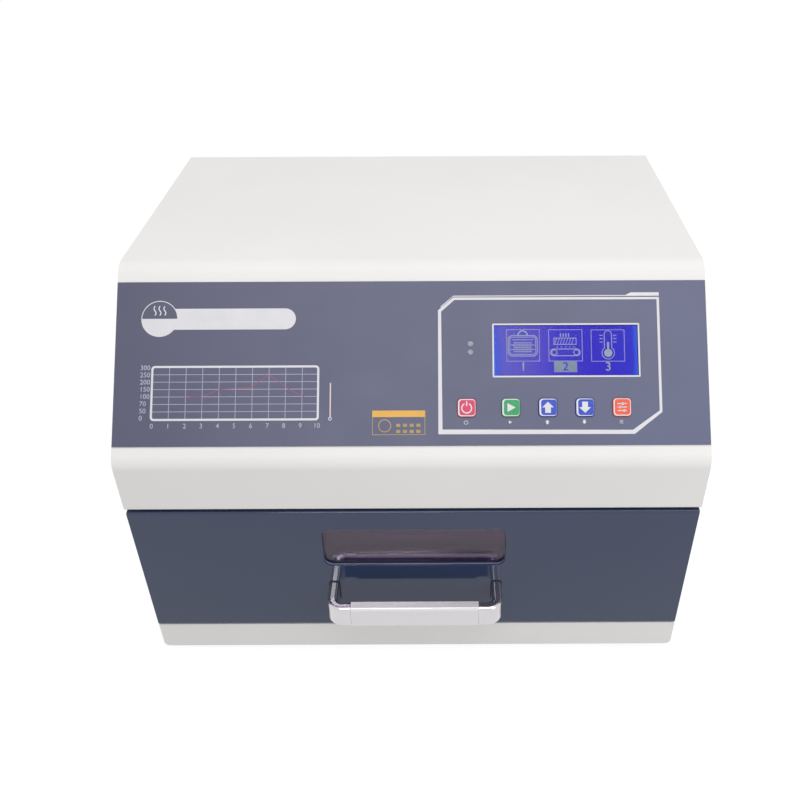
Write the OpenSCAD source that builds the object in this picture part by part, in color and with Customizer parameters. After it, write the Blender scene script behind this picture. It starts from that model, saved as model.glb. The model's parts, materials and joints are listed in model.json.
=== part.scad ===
// Benchtop drawer reflow oven: folded sheet-metal case with a sloping control face,
// a heated hood over a sliding tray drawer on three-part ball slides, and the parts that run it.
// Millimetres. X to the right, Y to the rear, Z up from the bench.

/* [Case] */
// Width of the case
case_w = 420; // [400:1:460]
// Depth of the case, from the drawer's face to the rear panel
case_d = 316; // [310:1:350]
// Height of the case without its feet
case_h = 303.5; // [295:0.5:330]
// Height of the sloping face's lower edge above the case's underside
slope_z = 196.5; // [192:0.5:205]
// Horizontal run of the sloping face
slope_run = 95.5; // [85:0.5:105]
// Height of the upright band between the drawer and the sloping face
lip_h = 43.5; // [36:0.5:46]
// Outside radius of the two large folds of the cover
bend_r = 16; // [8:0.5:20]
// Thickness of the casing sheet
sheet = 1.5; // [1:0.1:2]
// Height of the base's front strip
base_strip_h = 26.5; // [20:0.5:30]
// Height of a rubber foot
foot_h = 8; // [5:0.5:14]
// Diameter of a rubber foot
foot_d = 22; // [16:0.5:28]
// Distance from a foot's centre to the case's nearest sides
foot_inset = 30; // [20:1:50]
// Number of slots in a side vent
vent_count = 9; // [4:1:12]
// Width of a vent slot
vent_slot_w = 3.5; // [2:0.5:5]
// Distance between vent slots
vent_pitch = 9; // [7:0.5:11]

/* [Drawer] */
// Inside width of the tray
tray_w = 254; // [220:1:262]
// Inside depth of the tray, front to rear
tray_d = 208; // [180:1:214]
// Inside height of the tray
tray_h = 44; // [34:1:48]
// Thickness of the tray's stainless sheet
tray_t = 1; // [0.8:0.1:1.2]
// Radius of the tray's corners
tray_r = 8; // [4:0.5:12]
// Thickness of the wool beside the tray
side_wool = 30; // [24:1:32]
// Thickness of the wool under the tray
floor_wool = 16; // [10:1:18]
// Thickness of the wool between the tray and the drawer's inner panel
front_wool = 12; // [8:1:14]
// Thickness of the wool behind the tray
rear_wool = 21; // [15:1:22]
// Thickness of the drawer's and hood's outer sheet
shell_t = 1.2; // [0.8:0.1:1.5]
// Height of the drawer's underside above the bench
drawer_z = 46; // [44:1:50]
// Depth of the drawer front from face to back
front_depth = 18; // [16:0.5:24]
// Gap round the drawer front at its sides
side_gap = 0.5; // [0.3:0.1:1.5]
// Gap between the drawer front and the cover's band
top_gap = 2.5; // [1.5:0.1:4]
// Gap between the drawer front and the base strip
bottom_gap = 1.3; // [0.8:0.1:3]
// How far the drawer pulls out
drawer_travel = 225; // [150:5:235]

/* [Window] */
// Width of the window
window_w = 138; // [100:1:150]
// Height of the window
window_h = 38; // [30:1:42]
// Height of the window's lower edge above the bench
window_z = 103; // [100:0.5:106]
// Radius of the window's corners
window_r = 7; // [3:0.5:10]
// Thickness of a glass pane
glass_t = 3; // [2:0.5:4]

/* [Handle] */
// Distance between the handle's screws
handle_pitch = 126; // [96:1:160]
// Height of the handle's section
handle_h = 20; // [14:0.5:24]
// Thickness of the handle's section
handle_t = 8.5; // [7:0.5:10]
// How far the handle stands out
handle_reach = 28.5; // [24:0.5:45]
// Length of the middle bar
handle_bar_w = 97; // [60:1:100]
// Height of the handle's middle above the bench
handle_z = 76; // [60:1:80]
// Outside radius of the handle's corners
handle_r = 12; // [10:0.5:14]

/* [Slides] */
// Height of a drawer slide
slide_h = 45; // [42:0.5:50]
// Width that a drawer slide takes up
slide_w = 12.7; // [12.7:0.1:14]
// Length of each member of a slide
slide_len = 250; // [230:5:260]
// Thickness of a slide member's sheet
slide_t = 1.2; // [1:0.1:1.4]
// Height of the slides' middle above the bench
slide_z = 76; // [72:0.5:80]
// Diameter of a bearing ball
ball_d = 3.9; // [3.4:0.1:3.9]
// Number of balls in a row
ball_count = 6; // [3:1:8]
// Distance between balls
ball_pitch = 14; // [8:1:14]

/* [Rack] */
// Diameter of the rack's cross wires
wire_d = 3; // [2:0.5:4]
// Diameter of the rack's side wires
side_wire_d = 4; // [3:0.5:5]
// Number of cross wires
wire_count = 13; // [7:1:20]
// Height of the rack's ledges above the tray's floor
ledge_h = 22; // [15:1:26]

/* [Hood] */
// Inside height of the hood above the drawer's rim
hood_h = 73; // [70:1:75]
// Gap between the drawer's rim and the hood
rim_gap = 2.3; // [1:0.1:3]
// Thickness of the wool over the hood
top_wool = 20; // [15:1:22]
// Number of heater tubes
tube_count = 4; // [2:1:5]
// Diameter of a heater tube
tube_d = 10; // [8:0.5:12]
// Distance between heater tubes
tube_pitch = 44; // [30:1:48]
// Height of the tubes below the hood's ceiling
tube_drop = 28; // [26:0.5:32]
// Diameter of the circulation impeller
impeller_d = 92; // [60:1:100]
// Number of impeller blades
impeller_blades = 10; // [6:1:14]
// Diameter of the impeller's shaft
shaft_d = 6; // [5:0.5:8]
// Diameter of the circulation motor
motor_d = 62; // [45:1:70]
// Height of the circulation motor
motor_h = 36; // [25:1:45]
// Gap between the hood and the shelf over it
shelf_gap = 7; // [4:0.5:9]

/* [Control face] */
// Margin of the printed overlay at the sides
overlay_margin = 0.5; // [0.3:0.1:6]
// Distance from the slope's lower edge to the overlay
overlay_low = 12.2; // [9:0.1:14]
// Length of the overlay up the slope
overlay_len = 117.6; // [112:0.1:120]
// Thickness of the overlay
overlay_t = 0.8; // [0.4:0.1:1.2]
// Width of the display's window
lcd_w = 102; // [90:0.5:106]
// Height of the display's window
lcd_h = 36; // [30:0.5:38]
// Middle of the display to the right of the case's middle
lcd_x = 109.4; // [100:0.1:112]
// Middle of the display above the overlay's lower edge
lcd_s = 67.4; // [64:0.1:70]
// Size of a key
key_w = 13; // [10:0.5:14]
// Radius of a key's corners
key_r = 2.6; // [1:0.1:4]
// How far a key stands out of the overlay
key_rise = 1.2; // [1.1:0.1:2]
// How far a key travels
key_travel = 0.8; // [0.4:0.1:1]
// Middle of the keys above the overlay's lower edge
key_s = 26.6; // [24:0.1:30]
// Middle of the first key to the right of the case's middle
key_x = 38.8; // [36:0.1:42]
// Distance from the first key to the second
key_first_pitch = 31; // [26:0.5:32]
// Distance between the other keys
key_pitch = 26; // [18:0.5:27]
// Diameter of an indicator light
lamp_d = 4.4; // [3:0.1:5.5]
// Distance between the indicator lights
lamp_pitch = 6; // [6:0.1:9]

/* [Rear] */
// Side of the square cooling fan
fan_w = 80; // [60:1:80]
// Thickness of the cooling fan
fan_t = 25; // [20:1:32]
// Distance between the cooling fan's screws
fan_pitch = 71.5; // [50:0.5:71.5]
// Number of fan blades
fan_blades = 7; // [5:1:9]
// Outside diameter of the exhaust pipe
pipe_d = 60; // [40:1:62]
// Wall of the exhaust pipe
pipe_t = 1; // [0.8:0.1:1.5]
// How far the exhaust pipe stands out of the rear panel
pipe_reach = 30; // [15:1:45]
// Width of the power rocker
rocker_w = 12; // [10:0.5:15]
// Length of the power rocker
rocker_l = 17; // [14:0.5:20]
// Angle through which the rocker tips
rocker_tip = 20; // [14:1:24]

/* [Hidden] */
$fn = 64;
eps = 0.02;      // overlap of cutting bodies past a face
seat = 0.2;      // clearance of a part that is laid or slid into its seat
fold_r = 2.2;    // outside radius of small folds
pan_r = 4.5;     // outside radius of the base pan's round lower folds
running = 0.05;  // radial clearance of a shaft in its bore
rivet_d = 4.2;   // holes for the slides' rivets

// Heights above the bench
base_top = foot_h + base_strip_h;
lip_z = foot_h + slope_z - lip_h;
slope_low = foot_h + slope_z;
case_top = foot_h + case_h;
slope_rise = case_h - slope_z;
slope_deg = atan2(slope_rise, slope_run);
slope_len = norm([slope_rise, slope_run]);
front_z0 = base_top + bottom_gap;
front_z1 = lip_z - top_gap;
front_w = case_w - 2 * side_gap;
pan_floor = foot_h + sheet;

// The drawer's box, from the outside in
wool_z = drawer_z + shell_t;
tray_z = wool_z + floor_wool;
rim_z = tray_z + tray_t + tray_h;
tray_out_w = tray_w + 2 * tray_t;
tray_out_d = tray_d + 2 * tray_t;
box_w = tray_out_w + 2 * side_wool + 2 * shell_t;
box_y0 = front_depth;
tray_y = box_y0 + front_wool;
box_y1 = tray_y + tray_out_d + rear_wool + shell_t;

// The hood over it
hood_z = rim_z + rim_gap;
hood_ceiling = hood_z + hood_h;
hood_top = hood_ceiling + tray_t + top_wool + shell_t;
frame_y = front_depth + 2;          // front frame behind the drawer front
hood_y0 = frame_y + sheet;
hood_y1 = box_y1;
chamber_y1 = tray_y + tray_out_d;
shelf_z = hood_top + shelf_gap;
shelf_y0 = 62;                      // the shelf's front edge, clear of the control board
shelf_y1 = case_d - 16;
tube_z = hood_ceiling - tube_drop;
tube_y = tray_y + tray_out_d / 2 - (tube_count - 1) * tube_pitch / 2;
tube_len = box_w + 14;
shaft_y = tray_y + tray_out_d / 2;
frame_x = box_w / 2 + slide_w;      // inner face of a side frame
side_frame_y0 = frame_y + sheet;
side_frame_y1 = case_d - 16;
flange_w = 15;                      // width of folded flanges

// Slides: half heights of the faces between which the balls run
slide_y0 = frame_y + sheet + 1;
slide_hole_ys = [slide_y0 + 25, slide_y0 + slide_len - 25];
race = ball_d + 0.3;
outer_in = slide_h / 2 - slide_t;
mid_out = outer_in - race;
mid_in = mid_out - slide_t;
inner_out = mid_in - race;
inner_in = inner_out - slide_t;

// Rear panel
rear_z0 = base_top + 0.5;
cover_rear_h = 12;
cover_flange = 14;                  // depth of the flange under the cover's band
rear_z1 = case_top - cover_rear_h - 0.3;
fan_x = 130;
fan_z = rear_z1 - fan_w / 2 - 2;
pipe_z = hood_z + hood_h / 2 + 1;
inlet_x = -148;
inlet_z = 76;
switch_x = -96;

// Control face
overlay_w = case_w - 2 * overlay_margin;
key_xs = [for (i = [0:4]) i == 0 ? key_x : key_x + key_first_pitch + (i - 1) * key_pitch];
key_y = overlay_low + key_s;
lcd_y = overlay_low + lcd_s;
lamp_x = 41.7;
lamp_y = overlay_low + 69.1;
board_n = -10;                      // front of the control board below the slope's surface
board_t = 1.6;
stem_d = 4;
switch_top = board_n + 4.3;

// The footprint is centred on the origin
rear_reach = case_d + pipe_reach;
mid_y = (rear_reach - handle_reach) / 2;

KEYS = ["key_power", "key_run", "key_up", "key_down", "key_set"];

// ---------- helpers ----------

// Draws what follows with its profile's X along Y and its profile's Y along Z, centred over a width
module across(w) {
    translate([-w / 2, 0, 0]) rotate([90, 0, 90]) children();
}

// Draws a mirrored copy for the left side of the case
module on_side(s) {
    if (s > 0) children();
    else mirror([1, 0, 0]) children();
}

// Puts what follows on the sloping face: X across, Y up the slope, Z out of it
module on_slope() {
    translate([0, 0, slope_low]) rotate([slope_deg, 0, 0]) children();
}

// A rectangle with round corners, centred
module round_rect(w, h, r) {
    square([w - 2 * r, h], center = true);
    square([w, h - 2 * r], center = true);
    for (x = [-1, 1], y = [-1, 1]) translate([x * (w / 2 - r), y * (h / 2 - r)]) circle(r);
}

module plate(x0, x1, y0, y1, z0, z1) {
    translate([x0, y0, z0]) cube([x1 - x0, y1 - y0, z1 - z0]);
}

// Folded sheet over a width: the path is its outer face in Y and Z, with its inside on the right,
// and each of its corners is a fold of the outside radius given
module bent_sheet(w, path, radii) {
    inner = bent_line(path, radii, sheet);
    across(w) linear_extrude(w)
        polygon(concat(bent_line(path, radii, 0), [for (i = [len(inner) - 1:-1:0]) inner[i]]));
}

// A pan-head screw along +Z whose head's underside is on Z 0
module pan_screw(d, length) {
    head_h = d * 0.55;
    difference() {
        union() {
            cylinder(d = d, h = length);
            translate([0, 0, -head_h]) cylinder(d1 = d * 1.5, d2 = d * 2, h = head_h);
        }
        for (a = [0, 90]) rotate([0, 0, a]) translate([0, 0, -head_h])
            cube([d * 1.1, d * 0.22, head_h], center = true);
    }
}

function unit(v) = v / norm(v);
function right_of(v) = [v[1], -v[0]];
function fold_steps(r) = r > 5 ? 12 : 6;

// Points of one fold of a path, as an arc about the fold's centre
function fold_points(before, corner, after, r, inset) =
    let (u = unit(corner - before), v = unit(after - corner), turn = acos(u * v),
         centre = corner - r * tan(turn / 2) * u + r * right_of(u),
         start = atan2(u[0], -u[1]), n = fold_steps(r))
    [for (k = [0:n]) centre + (r - inset) * [cos(start - turn * k / n), sin(start - turn * k / n)]];

// A path with its folds, moved to its right by an inset
function bent_line(path, radii, inset) =
    let (n = len(path) - 1)
    concat([path[0] + inset * right_of(unit(path[1] - path[0]))],
           [for (i = [1:n - 1]) each fold_points(path[i - 1], path[i], path[i + 1], radii[i], inset)],
           [path[n] + inset * right_of(unit(path[n] - path[n - 1]))]);

// ---------- case ----------

// The cover's outer face from the band's flange over the slope and the top to the rear flange
cover_path = [[cover_flange, lip_z], [0, lip_z], [0, slope_low], [slope_run, case_top], [case_d, case_top],
              [case_d, case_top - cover_rear_h]];
cover_radii = [0, fold_r, bend_r, bend_r, fold_r, 0];

// Side panel's outline, under the cover's sheet
module side_outline() {
    polygon(concat(bent_line(cover_path, cover_radii, sheet),
                   [[case_d - sheet, rear_z0], [frame_y, rear_z0], [frame_y, lip_z + sheet]]));
}

module vent_slots(height) {
    for (i = [0:vent_count - 1]) translate([(i - (vent_count - 1) / 2) * vent_pitch, 0]) {
        square([vent_slot_w, height - vent_slot_w], center = true);
        for (s = [-1, 1]) translate([0, s * (height - vent_slot_w) / 2]) circle(d = vent_slot_w);
    }
}

screw_d = 4;
side_screw_ys = [50, case_d / 2, case_d - 40];
side_screw_z = foot_h + base_strip_h / 2 + 2;
side_vent_y = case_d * 0.62;
side_vents = [[(shelf_z + case_top) / 2, 50], [slide_z, 36]];  // each vent's middle height and slot length
rear_vent_x = -125;
rear_vent_h = 50;
floor_vent_x = 90;
floor_vent_h = 60;

module side_panel() {
    x_out = case_w / 2;
    difference() {
        union() {
            translate([x_out - sheet, 0, 0]) rotate([90, 0, 90]) linear_extrude(sheet) side_outline();
            // Strip inside the base pan's wall that the side screws hold, above the pan's fold
            plate(x_out - 2 * sheet, x_out - sheet, frame_y + sheet + seat, case_d - sheet - seat,
                  foot_h + pan_r, base_top + flange_w);
            // Flange behind the rear panel
            plate(x_out - flange_w, x_out - sheet / 2, case_d - 2 * sheet, case_d - sheet, rear_z0, rear_z1);
        }
        for (z = rear_screw_zs) translate([rear_screw_xs[1], case_d, z]) rotate([90, 0, 0])
            cylinder(d = screw_d, h = 4 * sheet);
        for (vent = side_vents) translate([x_out - 3 * sheet, side_vent_y, vent[0]])
            rotate([90, 0, 90]) linear_extrude(5 * sheet) vent_slots(vent[1]);
        for (y = side_screw_ys) translate([x_out, y, side_screw_z]) rotate([0, 90, 0])
            cylinder(d = screw_d, h = 6 * sheet, center = true);
    }
}

module left_side_panel() { color("gainsboro") on_side(-1) side_panel(); }
module right_side_panel() { color("gainsboro") on_side(1) side_panel(); }

foot_xs = case_w / 2 - foot_inset;
foot_ys = [foot_inset, case_d - foot_inset];

module base_pan() {
    y0 = 1.5;  // the front strip stands this far behind the drawer's face
    color("gainsboro") difference() {
        union() {
            // Floor
            plate(-case_w / 2 + pan_r, case_w / 2 - pan_r, y0, case_d, foot_h, pan_floor);
            // Side walls with their round lower folds
            for (s = [-1, 1]) on_side(s) {
                plate(case_w / 2 - sheet, case_w / 2, y0, case_d, foot_h + pan_r, base_top);
                translate([case_w / 2 - pan_r, case_d, foot_h + pan_r]) rotate([90, 0, 0])
                    rotate([0, 0, -90]) rotate_extrude(angle = 90)
                        translate([pan_r - sheet, 0]) square([sheet, case_d - y0]);
            }
            // Front and rear walls
            for (y = [y0, case_d - sheet]) translate([0, y + sheet, foot_h]) rotate([90, 0, 0])
                linear_extrude(sheet) pan_end();
        }
        for (x = [-foot_xs, foot_xs], y = foot_ys) translate([x, y, foot_h])
            cylinder(d = screw_d, h = 6 * sheet, center = true);
        for (s = [-1, 1], y = side_screw_ys) translate([s * case_w / 2, y, side_screw_z])
            rotate([0, 90, 0]) cylinder(d = screw_d + 0.4, h = 2 * pan_r, center = true);
        for (s = [-1, 1]) translate([s * floor_vent_x, case_d * 0.55, foot_h - eps])
            linear_extrude(3 * sheet) vent_slots(floor_vent_h);
    }
}

// End wall of the base pan, with its lower corners round
module pan_end() {
    r = pan_r;
    h = base_strip_h;
    translate([-case_w / 2, r]) square([case_w, h - r]);
    translate([-case_w / 2 + r, 0]) square([case_w - 2 * r, h]);
    for (s = [-1, 1]) translate([s * (case_w / 2 - r), r]) circle(r);
}

module top_cover() {
    color("whitesmoke") difference() {
        union() {
            bent_sheet(case_w, cover_path, cover_radii);
            // Studs that carry the control board
            on_slope() for (x = board_stud_xs, y = board_stud_ys) translate([x, y, board_n])
                cylinder(d = 5, h = -board_n - sheet + eps);
        }
        on_slope() {
            translate([lcd_x, lcd_y, -2 * sheet]) linear_extrude(3 * sheet) square([lcd_w + 4, lcd_h + 3], center = true);
            for (x = key_xs) translate([x, key_y, -2 * sheet]) linear_extrude(3 * sheet)
                round_rect(key_w + 0.6, key_w + 0.6, key_r + 0.3);
            for (s = [-0.5, 0.5]) translate([lamp_x, lamp_y + s * lamp_pitch, -2 * sheet])
                cylinder(d = lamp_d + 0.6, h = 3 * sheet);
        }
    }
}

module rear_panel() {
    color("gainsboro") difference() {
        plate(-case_w / 2 + sheet + seat, case_w / 2 - sheet - seat, case_d - sheet, case_d, rear_z0, rear_z1);
        translate([fan_x, case_d - 3 * sheet, fan_z]) rotate([-90, 0, 0]) cylinder(d = fan_w - 4, h = 5 * sheet);
        for (x = [-1, 1], z = [-1, 1]) translate([fan_x + x * fan_pitch / 2, case_d - 3 * sheet, fan_z + z * fan_pitch / 2])
            rotate([-90, 0, 0]) cylinder(d = screw_d + 0.4, h = 5 * sheet);
        translate([0, case_d - 3 * sheet, pipe_z]) rotate([-90, 0, 0]) cylinder(d = pipe_d + 0.6, h = 5 * sheet);
        plate(inlet_x - inlet_body_w / 2 - seat, inlet_x + inlet_body_w / 2 + seat, case_d - 3 * sheet, case_d + sheet,
              inlet_z - inlet_body_h / 2 - seat, inlet_z + inlet_body_h / 2 + seat);
        plate(switch_x - switch_body_w / 2 - seat, switch_x + switch_body_w / 2 + seat, case_d - 3 * sheet, case_d + sheet,
              inlet_z - switch_body_h / 2 - seat, inlet_z + switch_body_h / 2 + seat);
        for (s = [-1, 1]) translate([inlet_x + s * inlet_screw_x, case_d - 3 * sheet, inlet_z]) rotate([-90, 0, 0])
            cylinder(d = inlet_screw_d, h = 5 * sheet);
        translate([rear_vent_x, case_d + sheet, fan_z]) rotate([90, 0, 0]) linear_extrude(3 * sheet) vent_slots(rear_vent_h);
        for (x = rear_screw_xs, z = rear_screw_zs) translate([x, case_d - 3 * sheet, z]) rotate([-90, 0, 0])
            cylinder(d = screw_d, h = 5 * sheet);
    }
}

rear_screw_xs = [-case_w / 2 + 8, case_w / 2 - 8];
rear_screw_zs = [rear_z0 + 14, (rear_z0 + rear_z1) / 2, rear_z1 - 14];

module rubber_feet() {
    color("dimgray") for (x = [-foot_xs, foot_xs], y = foot_ys) translate([x, y, 0]) rotate_extrude() difference() {
        polygon([[0, 0], [foot_d / 2 - 2, 0], [foot_d / 2, foot_h], [0, foot_h]]);
        square([screw_d / 2, foot_h]);
        square([screw_d + 1, foot_h / 2]);
    }
}

module case_screws() {
    color("silver") {
        for (s = [-1, 1], y = side_screw_ys) on_side(s) translate([case_w / 2, y, side_screw_z])
            rotate([0, -90, 0]) pan_screw(screw_d - 0.1, 6);
        for (x = rear_screw_xs, z = rear_screw_zs) translate([x, case_d, z]) rotate([90, 0, 0])
            pan_screw(screw_d - 0.1, 6);
        for (x = [-foot_xs, foot_xs], y = foot_ys) translate([x, y, foot_h / 2])
            pan_screw(screw_d - 0.1, foot_h / 2 + 5);
    }
}

// ---------- inner frame ----------

module front_frame() {
    mouth_w = box_w + 2 * slide_w - 2;
    color("lightgray") difference() {
        plate(-case_w / 2 + 2 * sheet + seat, case_w / 2 - 2 * sheet - seat, frame_y, frame_y + sheet,
              pan_floor, lip_z - 0.5);
        plate(-mouth_w / 2, mouth_w / 2, frame_y - 1, frame_y + sheet + 1, drawer_z - 3, rim_z + 1);
        plate(-tray_out_w / 2, tray_out_w / 2, frame_y - 1, frame_y + sheet + 1, rim_z, lip_z);
        // Lower corners, clear of the base pan's folds
        for (s = [-1, 1]) on_side(s) plate(case_w / 2 - pan_r, case_w / 2, frame_y - 1, frame_y + sheet + 1,
                                           pan_floor - 1, foot_h + pan_r);
    }
}

module side_frame() {
    color("darkgray") difference() {
        union() {
            plate(frame_x, frame_x + sheet, side_frame_y0, side_frame_y1, pan_floor, shelf_z);
            plate(frame_x, frame_x + flange_w, side_frame_y0, side_frame_y1, pan_floor, pan_floor + sheet);
            plate(frame_x, frame_x + flange_w, shelf_y0, side_frame_y1, shelf_z - sheet, shelf_z);
        }
        // Holes for the feet's screws
        for (y = foot_ys) translate([foot_xs, y, pan_floor - 1]) cylinder(d = screw_d + 0.4, h = sheet + 2);
        // Openings for wiring
        for (y = [side_frame_y0 + 50, side_frame_y1 - 50]) translate([frame_x - 1, y, hood_z - 6])
            rotate([0, 90, 0]) cylinder(d = 24, h = sheet + 2);
        // Holes for the slides' rivets
        for (y = slide_hole_ys) translate([frame_x - 1, y, slide_z]) rotate([0, 90, 0]) cylinder(d = rivet_d, h = sheet + 2);
    }
}

module left_side_frame() { on_side(-1) side_frame(); }
module right_side_frame() { on_side(1) side_frame(); }

// ---------- hood ----------

module along_x(x0, x1, y, z, d) {
    translate([x0, y, z]) rotate([0, 90, 0]) cylinder(d = d, h = x1 - x0);
}

module for_tubes() {
    for (i = [0:tube_count - 1]) translate([0, tube_y + i * tube_pitch, tube_z]) children();
}

// Everything that passes through the hood's walls, opened up by a clearance
module hood_holes(clear) {
    for_tubes() rotate([0, 90, 0]) cylinder(d = tube_d + 2 * clear, h = case_w, center = true);
    translate([0, shaft_y, hood_ceiling - 5]) cylinder(d = shaft_d + 6 + 2 * clear, h = 60);
    translate([0, chamber_y1 - 5, pipe_z]) rotate([-90, 0, 0]) cylinder(d = pipe_d + 2 * clear, h = 80);
    translate([0, probe_y, probe_z]) rotate([0, 90, 0]) cylinder(d = probe_d + 2 * clear, h = case_w / 2);
}

probe_y = shaft_y;
probe_z = hood_z + 22;
probe_d = 3.2;

module hood_shell() {
    color("silver") difference() {
        plate(-box_w / 2, box_w / 2, hood_y0, hood_y1, hood_z, hood_top);
        plate(-box_w / 2 + shell_t, box_w / 2 - shell_t, hood_y0 + shell_t, hood_y1 - shell_t, hood_z - 1, hood_top - shell_t);
        // Mouth that the drawer's front closes
        plate(-tray_out_w / 2, tray_out_w / 2, hood_y0 - 1, hood_y0 + shell_t + 1, hood_z - 1, lip_z - 2);
        hood_holes(0.4);
    }
}

module hood_liner() {
    color("lightsteelblue") difference() {
        union() {
            plate(-tray_out_w / 2, tray_out_w / 2, hood_y0 + shell_t, chamber_y1, hood_z, hood_ceiling + tray_t);
            // Flange under the wool
            plate(-box_w / 2 + shell_t, box_w / 2 - shell_t, hood_y0 + shell_t, hood_y1 - shell_t, hood_z, hood_z + tray_t);
        }
        plate(-tray_w / 2, tray_w / 2, hood_y0 + shell_t + tray_t, chamber_y1 - tray_t, hood_z - 1, hood_ceiling);
        plate(-tray_w / 2, tray_w / 2, hood_y0, hood_y0 + shell_t + tray_t + 1, hood_z - 1, lip_z - 2);
        hood_holes(0.3);
    }
}

module hood_insulation() {
    color("white") difference() {
        plate(-box_w / 2 + shell_t, box_w / 2 - shell_t, hood_y0 + shell_t, hood_y1 - shell_t,
              hood_z + tray_t, hood_top - shell_t);
        plate(-tray_out_w / 2, tray_out_w / 2, hood_y0, chamber_y1, hood_z, hood_ceiling + tray_t);
        hood_holes(0.6);
    }
}

module reflector() {
    drop = 21;     // below the hood's ceiling, clear of the impeller
    t = 0.8;
    z = hood_ceiling - drop;
    y0 = hood_y0 + shell_t + tray_t;
    y1 = chamber_y1 - tray_t;
    color("silver") difference() {
        union() {
            plate(-tray_w / 2, tray_w / 2, y0, y1, z, z + t);
            for (s = [-1, 1]) on_side(s) plate(tray_w / 2 - t, tray_w / 2, y0, y1, z, hood_ceiling);
        }
        translate([0, shaft_y, z - 1]) cylinder(d = impeller_d - 20, h = 3);
        for (s = [-1, 1], i = [-5:5]) translate([s * (tray_w / 2 - 26), shaft_y + i * 16, z - 1])
            linear_extrude(3) round_rect(34, 5, 2.4);
    }
}

module heater_tubes() {
    color("linen") for_tubes() rotate([0, 90, 0]) difference() {
        cylinder(d = tube_d, h = tube_len, center = true);
        cylinder(d = tube_d - 2.4, h = tube_len + 1, center = true);
    }
}

module tube_end_caps() {
    cap_w = tube_d + 7;
    color("ivory") for (s = [-1, 1]) on_side(s) for_tubes() difference() {
        union() {
            plate(box_w / 2, box_w / 2 + slide_w - 1, -cap_w / 2, cap_w / 2, -cap_w / 2, cap_w / 2);
            // Nose that plugs the tube's end
            translate([box_w / 2 + 7 + seat, 0, 0]) rotate([0, 90, 0]) cylinder(d = tube_d + 0.4, h = slide_w - 8.5);
        }
        translate([box_w / 2 - 1, 0, 0]) rotate([0, 90, 0]) cylinder(d = tube_d + 2 * seat, h = 8 + seat);
    }
}

module thermocouple() {
    inner = 45;
    color("silver") {
        along_x(tray_w / 2 - inner, box_w / 2 + 6, probe_y, probe_z, probe_d);
        translate([box_w / 2, probe_y, probe_z]) rotate([0, 90, 0]) cylinder(d = 10, h = 5, $fn = 6);
    }
}

// ---------- circulation fan ----------

module circulation_motor() {
    color("slategray") translate([0, shaft_y, shelf_z + sheet]) difference() {
        union() {
            cylinder(d = motor_d, h = motor_h);
            translate([0, 0, motor_h]) cylinder(d = 18, h = 4);
            linear_extrude(2.5) round_rect(motor_d + 22, 18, 5);
        }
        cylinder(d = shaft_d + 2 * running, h = motor_h + 10);
        for (s = [-1, 1]) translate([s * (motor_d / 2 + 6), 0, -1]) cylinder(d = 3.4, h = 5);
        // Cooling slots round the case
        for (a = [0:30:330]) rotate([0, 0, a]) translate([motor_d / 2, 0, motor_h / 2]) cube([3, 4, motor_h * 0.5], center = true);
    }
}

module circulation_impeller() {
    blade_h = 11;
    z_disc = hood_ceiling - 4;
    r = impeller_d / 2;
    color("silver") translate([0, shaft_y, 0]) {
        difference() {
            union() {
                translate([0, 0, z_disc]) cylinder(r = r, h = 1.2);
                translate([0, 0, z_disc - blade_h]) cylinder(d = 16, h = blade_h + 1.2);
                for (i = [0:impeller_blades - 1]) rotate([0, 0, i * 360 / impeller_blades])
                    translate([r - 24, 0, z_disc - blade_h]) rotate([0, 0, 28]) translate([0, -0.6, 0])
                        cube([22, 1.2, blade_h + 0.5]);
            }
            translate([0, 0, z_disc - blade_h - 1]) cylinder(d = shaft_d, h = blade_h + 4);
        }
        translate([0, 0, z_disc - blade_h - 2]) cylinder(d = shaft_d, h = shelf_z + sheet + motor_h - z_disc + blade_h + 9);
    }
}

// ---------- electronics ----------

module electronics_shelf() {
    color("silver") difference() {
        union() {
            plate(-frame_x - flange_w, frame_x + flange_w, shelf_y0, shelf_y1, shelf_z, shelf_z + sheet);
            // Bosses that hold the hood, and bosses under the power board
            for (x = [-box_w / 2 + 20, box_w / 2 - 20], y = [shelf_y0 + 20, hood_y1 - 20])
                translate([x, y, hood_top]) cylinder(d = 12, h = shelf_gap + eps);
            for (x = [-1, 1], y = [-1, 1])
                translate([power_x + x * (power_w / 2 - 5), power_y + y * (power_d / 2 - 5), shelf_z])
                    cylinder(d = 8, h = sheet + 6);
        }
        translate([0, shaft_y, shelf_z - 1]) cylinder(d = shaft_d + 8, h = sheet + 2);
    }
}

power_w = 116;
power_d = 104;
power_x = -frame_x + power_w / 2 + 2;
power_y = shelf_y1 - power_d / 2 - 4;
power_z = shelf_z + sheet + 6;
core_gap = 36;  // from the shelf's front edge to the transformer's middle

module power_board() {
    color("darkgreen") plate(power_x - power_w / 2, power_x + power_w / 2, power_y - power_d / 2, power_y + power_d / 2,
                             power_z, power_z + 1.6);
    top = power_z + 1.6;
    // Relays
    color("royalblue") for (i = [0:2]) plate(power_x - 50, power_x - 31, power_y - 46 + i * 22, power_y - 30 + i * 22, top, top + 15.5);
    // Filter capacitors
    color("black") for (i = [0:1]) translate([power_x - 12 + i * 22, power_y - 36, top]) cylinder(d = 16, h = 26);
    // Terminal block
    color("seagreen") difference() {
        plate(power_x - 46, power_x + 46, power_y + 36, power_y + 48, top, top + 14);
        for (i = [0:7]) translate([power_x - 40 + i * 11.4, power_y + 42, top + 5]) cylinder(d = 5, h = 12);
    }
    // Finned heat sink of the power switches
    color("darkgray") {
        plate(power_x - 22, power_x + 48, power_y - 12, power_y + 24, top, top + 4);
        for (i = [0:9]) plate(power_x - 22 + i * 7.6, power_x - 20.4 + i * 7.6, power_y - 12, power_y + 24, top + 4 - eps, top + 28);
    }
}

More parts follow.
